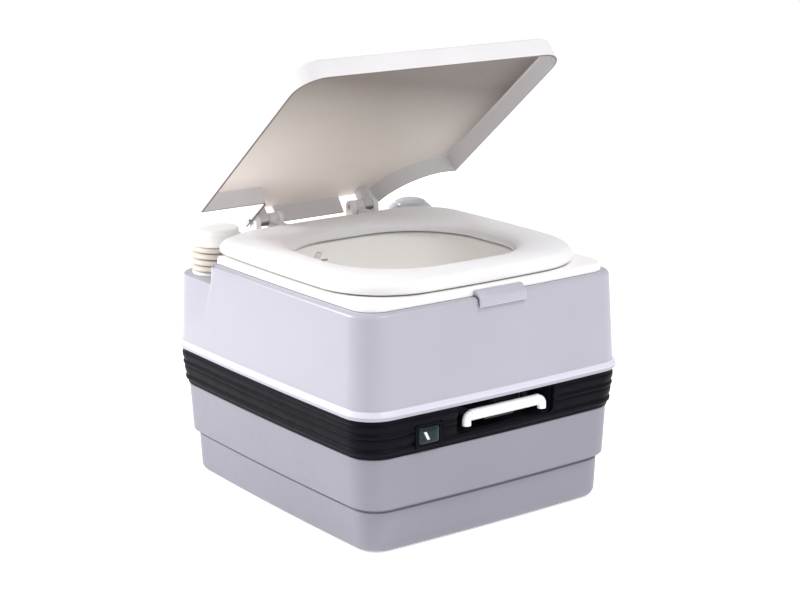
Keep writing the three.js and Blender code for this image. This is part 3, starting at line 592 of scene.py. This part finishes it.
MATERIALS = {
    # The lip's top carries a painted highlight as a pale band, and the convex edges are made pale, partly wear and
    # partly a painted highlight.
    "cool_white": plastic("cool_white", (0.43, 0.422, 0.478), 0.34, mottle=0.02, edge_wear_and_highlight=0.9, glow=0.04,
                          painted_highlight_space=((-1, -1, (LIP_Z + 5) * MM), (1, 1, (LIP_Z + 10) * MM))),
    "warm_white": plastic("warm_white", (0.95, 0.93, 0.90), 0.38, grain=0.00001, peel=0.00002,
                          mottle=0.012, scuff=0.02, grime_and_shade=0, edge_wear_and_highlight=0),
    "seat_white": plastic("seat_white", (0.83, 0.82, 0.83), 0.38, grain=0.00001, peel=0.00002,
                          mottle=0.008, scuff=0.02, grime_and_shade=0, edge_wear_and_highlight=0),
    # The lid's underside carries painted shade, and a painted shadow line along its rim.
    "lid_white": plastic("lid_white", (0.72, 0.705, 0.71), 0.42, grain=0.00003, peel=0.00005,
                         mottle=0.03, specular=0.15,
                         painted_underside_shade=(LID_UNDERSIDE, (0.20, 0.172, 0.155), (0.94, 0.87, 0.80), LID_RIM,
                                 (0.20, 0.165, 0.15))),
    # The bellows' hollows are darkened strongly, partly grime and partly painted shade.
    "bellows_white": plastic("bellows_white", (0.74, 0.68, 0.60), 0.42, mottle=0.04, grime_and_shade=0.9),
    "handle_white": plastic("handle_white", (0.92, 0.92, 0.93), 0.25, coat=0.3),
    # The tank's handle recess is painted near-black as shade; its hollows are darkened, partly grime and partly
    # painted shade, and its edges made pale, partly wear and partly painted highlight.
    "tank_grey": plastic("tank_grey", (0.272, 0.264, 0.308), 0.46, grain=0.00008, mottle=0.03,
                         grime_and_shade=0.6, edge_wear_and_highlight=0.6,
                         painted_shade_space=((-0.064, -0.23, 0.1238), (0.076, -0.158, 0.1575))),
    "band_dark": plastic("band_dark", BAND_COLOR, 0.46, grain=0.00006, mottle=0.25, specular=0.06),
    "valve_grey": plastic("valve_grey", (0.030, 0.030, 0.036), 0.45, mottle=0.15, specular=0.3),
    "cap_grey": plastic("cap_grey", (0.56, 0.555, 0.585), 0.3, mottle=0.05, coat=0.2),
    "rubber": rubber("rubber"),
    "steel": steel("steel"),
    "lens": smoked_lens("lens"),
    "signal_red": plastic("signal_red", (0.45, 0.04, 0.02), 0.4, mottle=0.1),
}

# ------------------------------------------------------------------ waste tank and band


def hollow(name, space, grow=0.0, top=LIP_Z + 5, rounding=5.0):
    x0, x1, y0, y1, z0 = space
    return block(name, x0 - grow, x1 + grow, y0 - grow, y1 + grow, z0 - grow, top, rounding)


def waste_tank():
    outer = body_loft("waste_tank_skin", [
        (60, 0, 0), (19.6, 0, 9), (17.6, STEP_Z - 5.5, 0.8), (20, STEP_Z - 4.6, 0.5),
        (20, STEP_Z - 1, 0.5), (11.5, STEP_Z + 0.4, 1.6),
        (8.5, SHOULDER_Z, 1.5), (12.5, SHOULDER_Z, 1), (10.4, TANK_TOP_Z, 3), (60, TANK_TOP_Z, 0),
    ], tank_radius)
    roof = TANK_TOP_Z - WALL
    inner = body_loft("waste_tank_room", [
        (60, WALL, 0), (23.5, WALL, 6), (23, STEP_Z - 1, 2), (15, STEP_Z + 3, 2),
        (12, SHOULDER_Z - 3, 2), (15.8, SHOULDER_Z + 2, 2), (14, roof, 3), (60, roof, 0),
    ], tank_radius)
    spaces = (VALVE_WELL, FINGER_SPACE, SPOUT_RECESS, LATCH_RECESS)
    cut(inner, *(hollow("wall", space, WALL) for space in spaces))
    cut(outer, inner, *(hollow("space", space) for space in spaces))
    gauge_low, gauge_high = box_mm("gauge_housing")
    vent_x, vent_y, _ = middle_mm("vent_button")
    cut(
        outer,
        block("gauge_window", gauge_low[0] - GAP, gauge_high[0] + GAP, -230, -190,
              gauge_low[2] - GAP, gauge_high[2] + GAP, 2),
        rod("mouth", (0, OUTLET_Y, 115), (0, OUTLET_Y, 130), OUTLET_RADIUS),
        rod("spout_hole", (SPOUT_X, SPOUT_Y, 90), (SPOUT_X, SPOUT_Y, 100), 19),
        rod("vent_hole", (vent_x, vent_y, 139), (vent_x, vent_y, 170), 12),
    )
    return place(soften(outer, 0.9), "waste_section", "tank_grey", "waste_tank")


def band_collar():
    """The dark band: two broad ridges, each over a bead, open at the handle, gauge, spout and latch."""
    height = BAND_TOP_Z - BAND_LOW_Z
    # Share of the band's height, and depth of the surface below the tops of the beads.
    section = [(0, 2.2), (0.06, 2.2), (0.10, 1.4), (0.13, 0.2), (0.17, 0), (0.21, 0.4), (0.24, 1.7),
               (0.28, 1.7), (0.32, 0.8), (0.40, 0.5), (0.48, 0.7), (0.52, 1.5), (0.55, 0.4),
               (0.585, 0), (0.62, 0.4), (0.65, 1.7), (0.69, 1.7), (0.73, 0.8), (0.80, 0.5),
               (0.87, 0.8), (0.91, 2.0), (1, 2.2)]
    profile = [(6.5 - 5 * share + depth, BAND_LOW_Z + height * share)
               for share, depth in spline(section, 3)]
    profile += [(9.8, BAND_TOP_Z), (12.2, BAND_LOW_Z)]
    rings = [outline(HALF_X - inset, HALF_Y - inset, shell_radius(inset), z, bow=BOW)
             for inset, z in profile]
    band = loft("band_collar_skin", rings, closed=True)
    gauge_low, gauge_high = box_mm("gauge_housing")
    cut(
        band,
        hollow("handle_gap", FINGER_SPACE),
        hollow("spout_gap", SPOUT_RECESS),
        hollow("latch_gap", LATCH_RECESS, top=BRIDGE_Z),
        block("gauge_gap", gauge_low[0] - GAP, gauge_high[0] + GAP, -230, -190,
              gauge_low[2] - GAP, gauge_high[2] + GAP, 2),
    )
    return place(soften(band, 0.5, angle=50), "waste_section", "band_dark", "band_collar")


# ------------------------------------------------------------------ flush section


def pump_corner(name, grow=0.0, rounding=4.0):
    return block(name, -300, PUMP_CORNER_X + grow, PUMP_CORNER_Y - grow, 300,
                 PUMP_SHELF_Z - grow, 340, rounding)


SHELL_SIDE = [
    (0, LIP_Z, 3), (0, LIP_Z + 6, 3), (3.7, LIP_Z + 11, 1.2), (9, RIM_Z, 6),
]


def upper_shell():
    core = body_loft("shell_core", [(60, LIP_Z + 12, 0), (6.5, LIP_Z + 12, 0), (10.4, RIM_Z - 0.6, 0),
                                    (60, RIM_Z - 0.6, 0)], shell_radius)
    corner = combine(pump_corner("shell_corner", WALL), "INTERSECT", core)
    shell = body_loft("upper_shell_skin", [
        *SHELL_SIDE, (30, RIM_Z, 1), (30, FLANGE_Z, 1), (12.8, FLANGE_Z, 2), (10, LIP_Z + 5, 0.5),
        (7.8, LIP_Z + 5, 0.5), (7.8, LIP_Z, 0.8),
    ], shell_radius, closed=True)
    join(shell, corner)
    cut(
        shell,
        pump_corner("pump_space"),
        rod("pump_hole", (PUMP_X, PUMP_Y, 230), (PUMP_X, PUMP_Y, 260), 12.4),
        rod("filler_room", (FILLER_X, FILLER_Y, FLANGE_Z - 1), (FILLER_X, FILLER_Y, RIM_Z + 1), 24),
    )
    return place(soften(shell, 1.1), "flush_section", "cool_white", "upper_shell")


# Bowl levels from the top down: (z, half width, half depth, corner radius, y of the middle).
BOWL_Y = -20
BOWL_LEVELS = [
    (DECK_Z - 4, 125, 119, 94, BOWL_Y),
    (262, 121, 115, 92, BOWL_Y),
    (247, 117, 111, 90, -18),
    (228, 107.5, 102.5, 85, -12),
    (212, 96.5, 93, 80, -6),
    (200, 85, 83, 75, 0),
    (188, 69, 69, 66, 6),
    (178, 53, 53, 52.5, 10),
    (172, 44, 44, 43.5, OUTLET_Y),
    (154.5, 44, 44, 43.5, OUTLET_Y),
]


def bowl_rings(grow, rows):
    return [outline(half_x + grow, half_y + grow, min(radius + grow, half_x + grow - 0.2), z, y=y)
            for z, half_x, half_y, radius, y in rows]


def deck_bowl():
    """Deck and bowl in one skin: skirt, deck, mouth, bowl, outlet, and back up outside."""
    def deck_rings(corners):
        return [outline(HALF_X - inset, HALF_Y - inset, shell_radius(inset), z, bow=BOW)
                for inset, z in filleted(corners)]
    bowl = spline(BOWL_LEVELS, 4)
    mouth_turn = []
    for k in range(5, 0, -1):
        angle = pi / 2 * k / 5
        out = 4 * (1 - cos(angle))
        mouth_turn.append((DECK_Z - 4 * (1 - sin(angle)), 125 + out, 119 + out, 96, BOWL_Y))
    rings = deck_rings([(21.5, RIM_Z + GAP, 0), (17.5, RIM_Z + GAP, 0.6), (18.4, DECK_Z, 3.2),
                        (30, DECK_Z, 0)])
    rings += bowl_rings(0, mouth_turn + bowl)
    rings += bowl_rings(3, [row for row in bowl[::-1] if row[0] < DECK_Z - 7])
    rings += bowl_rings(3, [(DECK_Z - WALL, 125, 119, 94, BOWL_Y)])
    rings += deck_rings([(30, DECK_Z - WALL, 0), (21.5, DECK_Z - WALL, 0)])
    deck = loft("deck_bowl_skin", rings, closed=True)

    wall = block("corner_wall", -190, PUMP_CORNER_X + WALL, PUMP_CORNER_Y - WALL, 230,
                 RIM_Z + GAP, DECK_Z - 1)
    edge = body_loft("deck_edge", [(60, RIM_Z + GAP, 0), (19, RIM_Z + GAP, 0), (19, DECK_Z - 1, 0),
                                   (60, DECK_Z - 1, 0)], shell_radius)
    join(deck, combine(wall, "INTERSECT", edge),
         rod("neck", (FILLER_X, FILLER_Y, DECK_Z - 3), (FILLER_X, FILLER_Y, 292), 23, 1))
    nozzle_x, _, nozzle_z = middle_mm("flush_nozzle")
    cut(
        deck,
        pump_corner("deck_corner"),
        rod("neck_bore", (FILLER_X, FILLER_Y, 260), (FILLER_X, FILLER_Y, 300), 19.5),
        rod("nozzle_hole", (nozzle_x, 80, nozzle_z), (nozzle_x, 125, nozzle_z), 7.4),
    )
    return place(soften(deck, 0.8), "flush_section", "warm_white", "deck_bowl")


def extruded(name, corners, x0, x1, edge):
    """A flat profile of (y, z, fillet) corners pulled from x0 to x1."""
    points = filleted(corners, closed=True)
    obj = loft(name, [[(x, p.x, p.y) for p in points] for x in (x0, x1)])
    return soften(obj, edge, segments=3)


def deck_clip():
    low, high = box_mm("deck_clip")
    front, back, bottom, top = low[1], high[1], low[2], high[2]
    clip = extruded("deck_clip_skin", [
        (front, bottom, 0.8), (front, bottom + 10, 4), (front + 8, top - 0.8, 3), (back, top, 0.6),
        (back, top - 6, 0.8), (front + 4.6, top - 6.8, 1.5), (front + 2.4, bottom + 8, 1.5),
        (front + 2.4, bottom, 0.8),
    ], low[0], high[0], 0.8)
    return place(clip, "flush_section", "cool_white", "deck_clip")


# ------------------------------------------------------------------ pump


def pump_bellows():
    low, high = box_mm("pump_bellows")
    radius = (high[0] - low[0]) / 2
    folds = 4
    depth = 6.6
    wall = 1.5
    steps = 10
    height = high[2] - low[2]
    outside = []
    for k in range(folds * steps + 1):
        share = k / (folds * steps)
        swell = abs(sin(pi * share * folds)) ** 0.5
        outside.append((radius - depth * (1 - swell), low[2] + height * share))
    inside = [(r - wall, z) for r, z in reversed(outside)]
    bellows = turned("pump_bellows_skin", outside + inside, (PUMP_X, PUMP_Y, 0), closed=True, steps=80)
    place(bellows, "flush_section", "bellows_white", "pump_bellows", sharp=60)
    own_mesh(bellows)
    return bellows


def pump_cap():
    z = box_mm("pump_cap")[0][2]
    profile = filleted([
        (24, z, 0.6), (31.2, z, 1.5), (32, z + 5, 4), (31, z + 10.6, 2.5), (27.6, z + 11.4, 1.4),
        (27.5, z + 19.6, 3.4), (8, z + 20.4, 4), (0, z + 20.0, 0), (0, z + 17, 0), (24, z + 17, 1),
    ], closed=True)
    cap = turned("pump_cap_skin", profile, (PUMP_X, PUMP_Y, 0), closed=True, steps=96)
    return place(cap, "pump_top", "warm_white", "pump_cap", sharp=45)


def pump_base():
    low, high = box_mm("pump_base")
    flange = PUMP_SHELF_Z + GAP
    profile = filleted([
        (4, low[2], 0), (12, low[2], 1), (12, flange, 1), (30, flange, 0.6), (30, high[2], 1.6),
        (9, high[2], 1), (9, low[2] + 6, 0.6), (4, low[2] + 6, 0),
    ], closed=True)
    base = turned("pump_base_skin", profile, (PUMP_X, PUMP_Y, 0), closed=True, steps=80)
    return place(base, "flush_section", "warm_white", "pump_base")


# ------------------------------------------------------------------ filler cap


def filler_cap():
    low, high = box_mm("filler_cap")
    radius = (high[0] - low[0]) / 2
    base, top = low[2], high[2]
    ribs = 24

    def grip(reach, height, angle):
        if reach > radius - 1.2 and base + 1 < height < base + 10.5:
            return reach - 0.5 * (1 + cos(ribs * angle))
        return reach
    profile = filleted([
        (24, base, 0.5), (radius, base, 1), (radius, base + 1.6, 0), (radius, base + 3, 0),
        (radius, base + 6, 0), (radius, base + 9.6, 0), (radius - 0.4, base + 11, 2),
        (22.5, base + 15.6, 1.5), (21, base + 15.8, 1.5), (19.5, base + 19, 3), (12, top - 1.4, 4),
        (0, top, 0), (0, 295, 0), (24, 295, 1),
    ], closed=True)
    cap = turned("filler_cap_skin", profile, (FILLER_X, FILLER_Y, 0), closed=True, steps=192,
                 flute=grip)
    return place(cap, "filler_top", "cap_grey", "filler_cap", sharp=45)


# ------------------------------------------------------------------ hinges


BRACKET = (51, 91)  # reach of a hinge bracket to each side
EAR = 7
LID_KNUCKLE = (71.3, 83.7)
SEAT_KNUCKLE = (58.3, 70.7)
KNUCKLE_RADIUS = 7.5


def mirrored(span, side):
    return span if side > 0 else (-span[1], -span[0])


def hinge_bracket(label, side):
    base = DECK_Z + GAP
    x0, x1 = mirrored(BRACKET, side)
    bracket = block("hinge_bracket_" + label + "_skin", x0, x1, HINGE_Y - 8, HINGE_Y + 8, base,
                    base + 4, 1)
    for ear in (x0, x1 - EAR):
        join(
            bracket,
            block("ear", ear, ear + EAR, HINGE_Y - 8, HINGE_Y + 8, base + 0.5, HINGE_Z, 0.8),
            rod("eye", (ear, HINGE_Y, HINGE_Z), (ear + EAR, HINGE_Y, HINGE_Z), 8, 0.8),
        )
    cut(bracket, rod("bore", (x0 - 5, HINGE_Y, HINGE_Z), (x1 + 5, HINGE_Y, HINGE_Z), 3.3, steps=32))
    place(bracket, "flush_section", "warm_white", "hinge_bracket_" + label)
    pin = rod("hinge_pin_" + label + "_skin", (x0, HINGE_Y, HINGE_Z), (x1, HINGE_Y, HINGE_Z), 3, 0.6)
    place(pin, "flush_section", "steel", "hinge_pin_" + label)


def knuckle(name, span, side, y_from, z_from, y_to, z_to):
    """A hinge knuckle round the axis, with the tongue that carries it."""
    x0, x1 = mirrored(span, side)
    tongue = block(name, x0, x1, y_from, y_to, z_from, z_to, 1.5)
    eye = rod("eye", (x0, HINGE_Y, HINGE_Z), (x1, HINGE_Y, HINGE_Z), KNUCKLE_RADIUS, 1)
    return join(tongue, eye)


def pin_bore():
    return rod("pin_bore", (-100, HINGE_Y, HINGE_Z), (100, HINGE_Y, HINGE_Z), 3.3, steps=32)


# ------------------------------------------------------------------ seat


def seat():
    front, back = -188, 150
    height = 19.5
    outer = outline(169, (back - front) / 2, 86, 0, y=(back + front) / 2, bow=2, rear_radius=46,
                    corner_steps=22)
    inner = outline(123, 118, 98, 0, y=-24, corner_steps=22)

    def ring(name, section):
        return loft(name, [
            [(ax + (bx - ax) * share, ay + (by - ay) * share, SEAT_Z + z)
             for (ax, ay, _), (bx, by, _) in zip(outer, inner)]
            for share, z in section], closed=True)

    crown = spline([(0.0, 2), (0.0, 6), (0.03, 10.5), (0.12, 15.3), (0.30, 18.6), (0.5, height),
                    (0.70, 18.7), (0.87, 16), (0.96, 12), (1.0, 8), (1.0, 3)], 3)
    body = ring("seat_skin", [(0.04, 0), (0.015, 0.5), *crown, (0.985, 0.6), (0.95, 0)])
    room = ring("seat_room", [(0.10, -1), (0.10, 8), (0.20, 12.5), (0.5, 15.5), (0.75, 14),
                              (0.88, 10), (0.90, 6), (0.90, -1)])
    pump_room = (PUMP_X, PUMP_Y, 36.5)
    filler_room = (FILLER_X, FILLER_Y, 32.5)

    def column(name, spot, grow=0.0):
        x, y, radius = spot
        return rod(name, (x, y, 250), (x, y, 330), radius + grow, steps=96)
    cut(room, column("solid_by_pump", pump_room, 4), column("solid_by_filler", filler_room, 4))
    cut(body, room)
    for side in (-1, 1):
        join(body, knuckle("seat_knuckle", SEAT_KNUCKLE, side, back - 14, SEAT_Z + 6, HINGE_Y,
                           SEAT_Z + height - 1))
    cut(body, column("pump_cut", pump_room), column("filler_cut", filler_room), pin_bore())
    return place(soften(body, 1.2), "seat", "seat_white", "seat")


# ------------------------------------------------------------------ lid


def lid_outline(inset):
    """The closed lid from above, moved inwards: a rectangle notched for the pump and the filler."""
    right, front, back = 184 - inset, -334.3 + inset, 14.5 - inset
    notch_x, notch_y = -95 + inset, -45 - inset
    centre = Vector((166, 9))
    radius = 71 + inset
    edge_fillet = max(2.6 - inset, 0.3)
    front_fillet = 34 - inset
    start = atan2(-sqrt(radius ** 2 - (right - centre.x) ** 2), right - centre.x)
    end = -pi - asin((back - centre.y) / radius)
    steps = 30
    arc = []
    for k in range(steps + 1):
        angle = start + (end - start) * k / steps
        arc.append((centre.x + radius * cos(angle), centre.y + radius * sin(angle),
                    edge_fillet if k in (0, steps) else 0))
    return filleted([
        (-right, front, front_fillet), (right, front, front_fillet), *arc,
        (notch_x, back, edge_fillet), (notch_x, notch_y, 5 + inset), (-right, notch_y, edge_fillet),
    ], closed=True, steps=9)


def lid():
    """The lid is built closed, then turned back about its hinge."""
    height, wall = 25.5, 3
    inside = filleted([(12, height - wall, 0), (wall + 1.4, height - wall, 4), (wall, 0, 0.8)])
    outside = filleted([(wall, 0, 0), (0, 0, 1.2), (1.4, height, 6.5), (12, height, 0)], steps=8)
    rings = [[(q.x, q.y, z) for q in lid_outline(inset)] for inset, z in inside + outside[1:]]
    body = loft("lid_skin", rings)
    for side in (-1, 1):
        x0, x1 = mirrored((BRACKET[0] - 2, BRACKET[1] + 2), side)
        cut(body, block("bracket_room", x0, x1, 6, 30, -5, height - wall, 1.5))
        x0, x1 = mirrored(LID_KNUCKLE, side)
        join(body, block("lid_tongue", x0, x1, -7, 7, 1, height - 1, 1.5),
             rod("lid_eye", (x0, 0, 0), (x1, 0, 0), KNUCKLE_RADIUS, 1))
    cut(body, rod("lid_bore", (-100, 0, 0), (100, 0, 0), 3.3, steps=32))
    turn = Matrix.Rotation(-LID_ANGLE, 4, "X")
    body.data.transform(Matrix.Translation(Vector((0, HINGE_Y, HINGE_Z)) * MM) @ turn)
    return place(body, "lid", "lid_white", "lid")


# ------------------------------------------------------------------ pull handle and gauge


def pull_handle():
    low, high = box_mm("pull_handle")
    y = -205.5
    z = 142.5
    left, right, foot = low[0] + 5.4, high[0] - 5.4, 131.5
    corners = [(left, foot, 0), (left, z, 6.5), (right, z, 6.5), (right, foot, 0)]
    bend = filleted(corners, steps=8)
    start, end = bend[0], bend[-1]
    foot_rise = Vector((0, 4))
    points = [start, start + foot_rise, *bend[1:-1], end + foot_rise, end]
    path = [Vector((p.x, y, p.y)) for p in points]
    bar = sweep("pull_handle_skin", path, 4.9, 5.3, Y_AXIS, steps=32)
    grip = sweep("grip", [Vector((x, y, z)) for x in (left + 5, left + 8, right - 8, right - 5)],
                 5.8, 6.4, Y_AXIS, steps=32)
    place(join(bar, grip), "slide_valve", "handle_white", "pull_handle", sharp=50)
    socket = block("handle_socket", -21, 21, -204, -184, 132.2, 143.2, 1.5)
    cut(socket, block("stem_room", -16.3, 16.3, -199, -180, 134.9, 139.5))
    place(socket, "slide_valve", "valve_grey")


def gauge():
    low, high = box_mm("gauge_housing")
    face = low[1]
    x = (low[0] + high[0]) / 2
    z = (low[2] + high[2]) / 2
    half_x = (high[0] - low[0]) / 2
    half_z = (high[2] - low[2]) / 2

    def upright(half_w, half_h, corner, y):
        """A rounded rectangle standing in the XZ plane."""
        flat = outline(half_w, half_h, corner, 0, corner_steps=8, side_steps=4)
        return [(x + px, y, z + pz) for px, pz, _ in flat]
    frame_section = filleted([
        (0, face + 11, 0.5), (0, face, 1.2), (3.4, face, 1), (3.8, face + 3, 0.6), (3.8, face + 11, 0.5),
    ], closed=True)
    housing = loft("gauge_housing_skin", [
        upright(half_x - inset, half_z - inset, max(4.5 - 0.6 * inset, 1.5), y)
        for inset, y in frame_section], closed=True)
    place(housing, "waste_section", "band_dark", "gauge_housing")

    bulge = 2.8
    layers = [upright(half_x - 4.1, half_z - 4.1, 2.2, face + 2.7)]
    for k in range(7):
        angle = pi / 2 * k / 7
        layers.append(upright((half_x - 4.1) * (0.25 + 0.75 * cos(angle)),
                              (half_z - 4.1) * (0.1 + 0.9 * cos(angle)), 2.2 * cos(angle) + 0.3,
                              face + 0.6 - bulge * sin(angle)))
    lens = loft("gauge_lens_skin", layers)
    place(lens, "waste_section", "lens", "gauge_lens", sharp=70)


# ------------------------------------------------------------------ spout, latch and valve


SPOUT_RADIUS = 20
SPOUT_BEND = 26
SPOUT_MOUTH_X = 44


def spout_path():
    corners = [(SPOUT_X, 99, 0), (SPOUT_X, SPOUT_Z, SPOUT_BEND), (SPOUT_MOUTH_X, SPOUT_Z, 0)]
    return [Vector((p.x, SPOUT_Y, p.y)) for p in filleted(corners, steps=14)]


def spout():
    bore = SPOUT_RADIUS - 3.5
    tube = sweep("spout_elbow_skin", spout_path(), SPOUT_RADIUS, SPOUT_RADIUS, Y_AXIS,
                 closed_with=(bore, bore), steps=56)
    flange = turned("flange", filleted([(bore, 87, 0.5), (18.6, 87, 0.8), (18.6, 98.3, 0),
                                        (25, 98.3, 0.8), (25, 102, 1.5), (bore, 102, 0)],
                                       closed=True), (SPOUT_X, SPOUT_Y, 0), closed=True, steps=56)
    join(tube, flange)
    for offset in (2, 8):
        ridge = turned("thread", filleted([(bore + 1, 0, 0), (21.4, 0, 0.8), (21.4, 3, 0.8),
                                           (bore + 1, 3, 0)], closed=True),
                       (SPOUT_MOUTH_X + offset, SPOUT_Y, SPOUT_Z), X_AXIS, closed=True, steps=56)
        join(tube, ridge)
    place(tube, "spout", "tank_grey", "spout_elbow")

    ribs = 28

    def grip(reach, height, angle):
        if reach > 24 and height > 2:
            return reach - 0.5 * (1 + cos(ribs * angle))
        return reach
    cap = turned("spout_cap_skin", filleted([
        (0, 0, 0), (17, 0, 1), (18.5, 1.2, 1), (23.6, 0.6, 1.2), (25, 2.6, 0), (25, 6, 0), (25, 12, 0),
        (25, 19, 0.8), (22, 19, 0.5), (22, 3, 1), (0, 3, 0),
    ]), (SPOUT_MOUTH_X - 5, SPOUT_Y, SPOUT_Z), X_AXIS, steps=168, flute=grip)
    place(cap, "spout_cap", "valve_grey", "spout_cap", sharp=45)


def rear_latch():
    low, high = box_mm("rear_latch")
    _, y, z = joint_mm("latch_swing")
    x0, x1 = low[0], high[0]
    latch = block("rear_latch_skin", x0, x1, y - 11.3, y - 8.3, z - 44, z + 4, 1.2)
    join(
        latch,
        block("nose", x0, x1, y - 10, y - 4.8, z - 43.4, z - 37.6, 1.5),
        block("arm", x0, x1, y - 10, y, z - 4, z + 4, 1.2),
        rod("barrel", (x0, y, z), (x1, y, z), 4.3, 0.6),
    )
    for k in range(4):
        rib_z = z - 12 - 5 * k
        join(latch, rod("grip_rib", (x0 + 8, y - 8.2, rib_z), (x1 - 8, y - 8.2, rib_z), 1.1, 1))
    cut(latch, rod("bore", (x0 - 1, y, z), (x1 + 1, y, z), 2.3, steps=32))
    place(soften(latch, 0.5), "latch", "band_dark", "rear_latch")
    pin_low, pin_high = box_mm("rear_latch_pin")
    place(rod("rear_latch_pin_skin", (pin_low[0], y, z), (pin_high[0], y, z), 2, 0.5),
          "waste_section", "steel", "rear_latch_pin")


def valve():
    """What shows of the slide valve when the flush section is lifted off."""
    low, high = box_mm("valve_cover_plate")
    x1, y0, y1 = high[0], low[1], high[1]
    top = 147.0
    plate = block("valve_cover_plate_skin", -x1, x1, y0, y1, low[2], top, 1.5)
    collar = rod("collar", (0, OUTLET_Y, top - 2), (0, OUTLET_Y, high[2]), 55, 1, steps=96)
    ribs = [block("rib", x - 1.5, x + 1.5, y0 + 6, -46, top - 1, top + 1.6, 0.8)
            for x in (-36, -12, 12, 36)]
    join(plate, collar, *ribs)
    cut(
        plate,
        rod("mouth", (0, OUTLET_Y, 120), (0, OUTLET_Y, 160), OUTLET_RADIUS, steps=96),
        block("channel", -53.3, 53.3, y0 + 8, 68, 134.9, 139.5),
        block("slot", -17, 17, y0 - 5, y0 + 10, 134.9, 139.5),
    )
    place(soften(plate, 0.8), "waste_section", "valve_grey", "valve_cover_plate")

    low, high = box_mm("outlet_gasket")
    gasket = turned("outlet_gasket_skin", filleted([
        (45, low[2], 0.5), (54, low[2], 0.5), (54, high[2] - 1, 1.5), (49.5, high[2], 1.5),
        (45, high[2] - 1, 1.5)], closed=True), (0, OUTLET_Y, 0), closed=True, steps=96)
    place(gasket, "waste_section", "rubber", "outlet_gasket")

    x, y, _ = middle_mm("vent_button")
    low, high = box_mm("vent_button")
    button = turned("vent_button_skin", filleted([
        (0, low[2], 0), (3.5, low[2], 0.5), (3.5, 149, 0.5), (9.3, 149, 0.5), (9.5, 156, 1.5),
        (6, high[2], 1.5), (5, high[2] - 0.8, 1.5), (0, high[2] - 0.9, 0)]), (x, y, 0))
    place(button, "vent", "valve_grey", "vent_button")

    for index in range(1, 5):
        node = "valve_screw_" + str(index)
        x, y, _ = middle_mm(node)
        low, high = box_mm(node)
        screw = turned(node + "_skin", filleted([
            (0, low[2], 0), (1.9, low[2], 0.3), (1.9, 147.4, 0.3), (4.2, 147.4, 0.3),
            (4.2, high[2], 1.2), (0, high[2], 0)]), (x, y, 0), steps=32)
        for turn in (0, pi / 2):
            slot = block("drive", -2.6, 2.6, -0.45, 0.45, -1.1, 1)
            slot.data.transform(Matrix.Translation(Vector((x, y, high[2])) * MM)
                                @ Matrix.Rotation(turn, 4, "Z"))
            cut(screw, slot)
        place(screw, "waste_section", "steel", node)


# ------------------------------------------------------------------ build

waste_tank()
band_collar()
upper_shell()
deck_bowl()
deck_clip()
pump_bellows()
pump_cap()
pump_base()
filler_cap()
for side_label, side_sign in (("left", -1), ("right", 1)):
    hinge_bracket(side_label, side_sign)
seat()
lid()
pull_handle()
gauge()
spout()
rear_latch()
valve()

for subpart in frame["record"]["subparts"]:
    cad_node = frame["nodes"][subpart["node"]]
    for material_slot in cad_node.material_slots:
        material_slot.material = MATERIALS[subpart["material_slot"]]

# ------------------------------------------------------------------ floor, light and camera


def floor():
    half = 16
    mesh = bpy.data.meshes.new("floor")
    mesh.from_pydata([(-half, -half, 0), (half, -half, 0), (half, half, 0), (-half, half, 0)], [],
                     [(0, 1, 2, 3)])
    obj = bpy.data.objects.new("floor", mesh)
    bpy.context.scene.collection.objects.link(obj)
    nodes = Nodes("floor_paint")
    cloud = nodes.remap(nodes.noise(1.5, detail=2), 0.3, 0.7, 0, 1)
    nodes.link(nodes.mix(cloud, (0.90, 0.90, 0.91), (0.93, 0.93, 0.94)),
               nodes.bsdf.inputs["Base Color"])
    nodes.bsdf.inputs["Roughness"].default_value = 0.8
    nodes.bsdf.inputs["Emission Color"].default_value = (1, 1, 1, 1)
    nodes.bsdf.inputs["Emission Strength"].default_value = 0.44
    mesh.materials.append(nodes.material)


def softbox(name, position, target, size, power, color=(1, 1, 1)):
    light = bpy.data.lights.new(name, "AREA")
    light.shape = "DISK"
    light.size = size
    light.energy = power
    light.color = color
    obj = bpy.data.objects.new(name, light)
    obj.location = position
    direction = Vector(target) - Vector(position)
    obj.rotation_euler = direction.to_track_quat("-Z", "Y").to_euler()
    bpy.context.scene.collection.objects.link(obj)


def studio():
    world = bpy.data.worlds.new("studio")
    world.use_nodes = True
    background = world.node_tree.nodes["Background"]
    background.inputs["Color"].default_value = (0.97, 0.97, 1.0, 1)
    background.inputs["Strength"].default_value = 0.62
    bpy.context.scene.world = world
    softbox("key", (-2.0, 1.7, 1.4), (0, 0, 0.2), 0.9, 60)
    softbox("fill", (1.6, -2.8, 1.3), (0, 0, 0.2), 2.0, 3)
    softbox("top", (0.45, -1.4, 2.3), (0, 0, 0.2), 1.2, 31)
    bpy.context.scene.view_settings.view_transform = "Standard"


AZIMUTH = radians(-35.482)
ELEVATION = radians(14.915)
ROLL = radians(-0.5533)
DISTANCE = 2.2554
TARGET = Vector((0, 0, 0.2))


def camera():
    back = Vector((sin(AZIMUTH) * cos(ELEVATION), -cos(AZIMUTH) * cos(ELEVATION), sin(ELEVATION)))
    right = Vector((cos(AZIMUTH), sin(AZIMUTH), 0))
    up = back.cross(right)
    rolled_right = right * cos(ROLL) + up * sin(ROLL)
    rolled_up = up * cos(ROLL) - right * sin(ROLL)
    data = bpy.data.cameras.new("camera")
    data.lens = 85.20
    data.shift_x = 0.0095
    data.shift_y = 0.0255
    obj = bpy.data.objects.new("camera", data)
    turn = Matrix((rolled_right, rolled_up, back)).transposed().to_4x4()
    obj.matrix_world = Matrix.Translation(TARGET + back * DISTANCE) @ turn
    bpy.context.scene.collection.objects.link(obj)
    bpy.context.scene.camera = obj


floor()
studio()
camera()
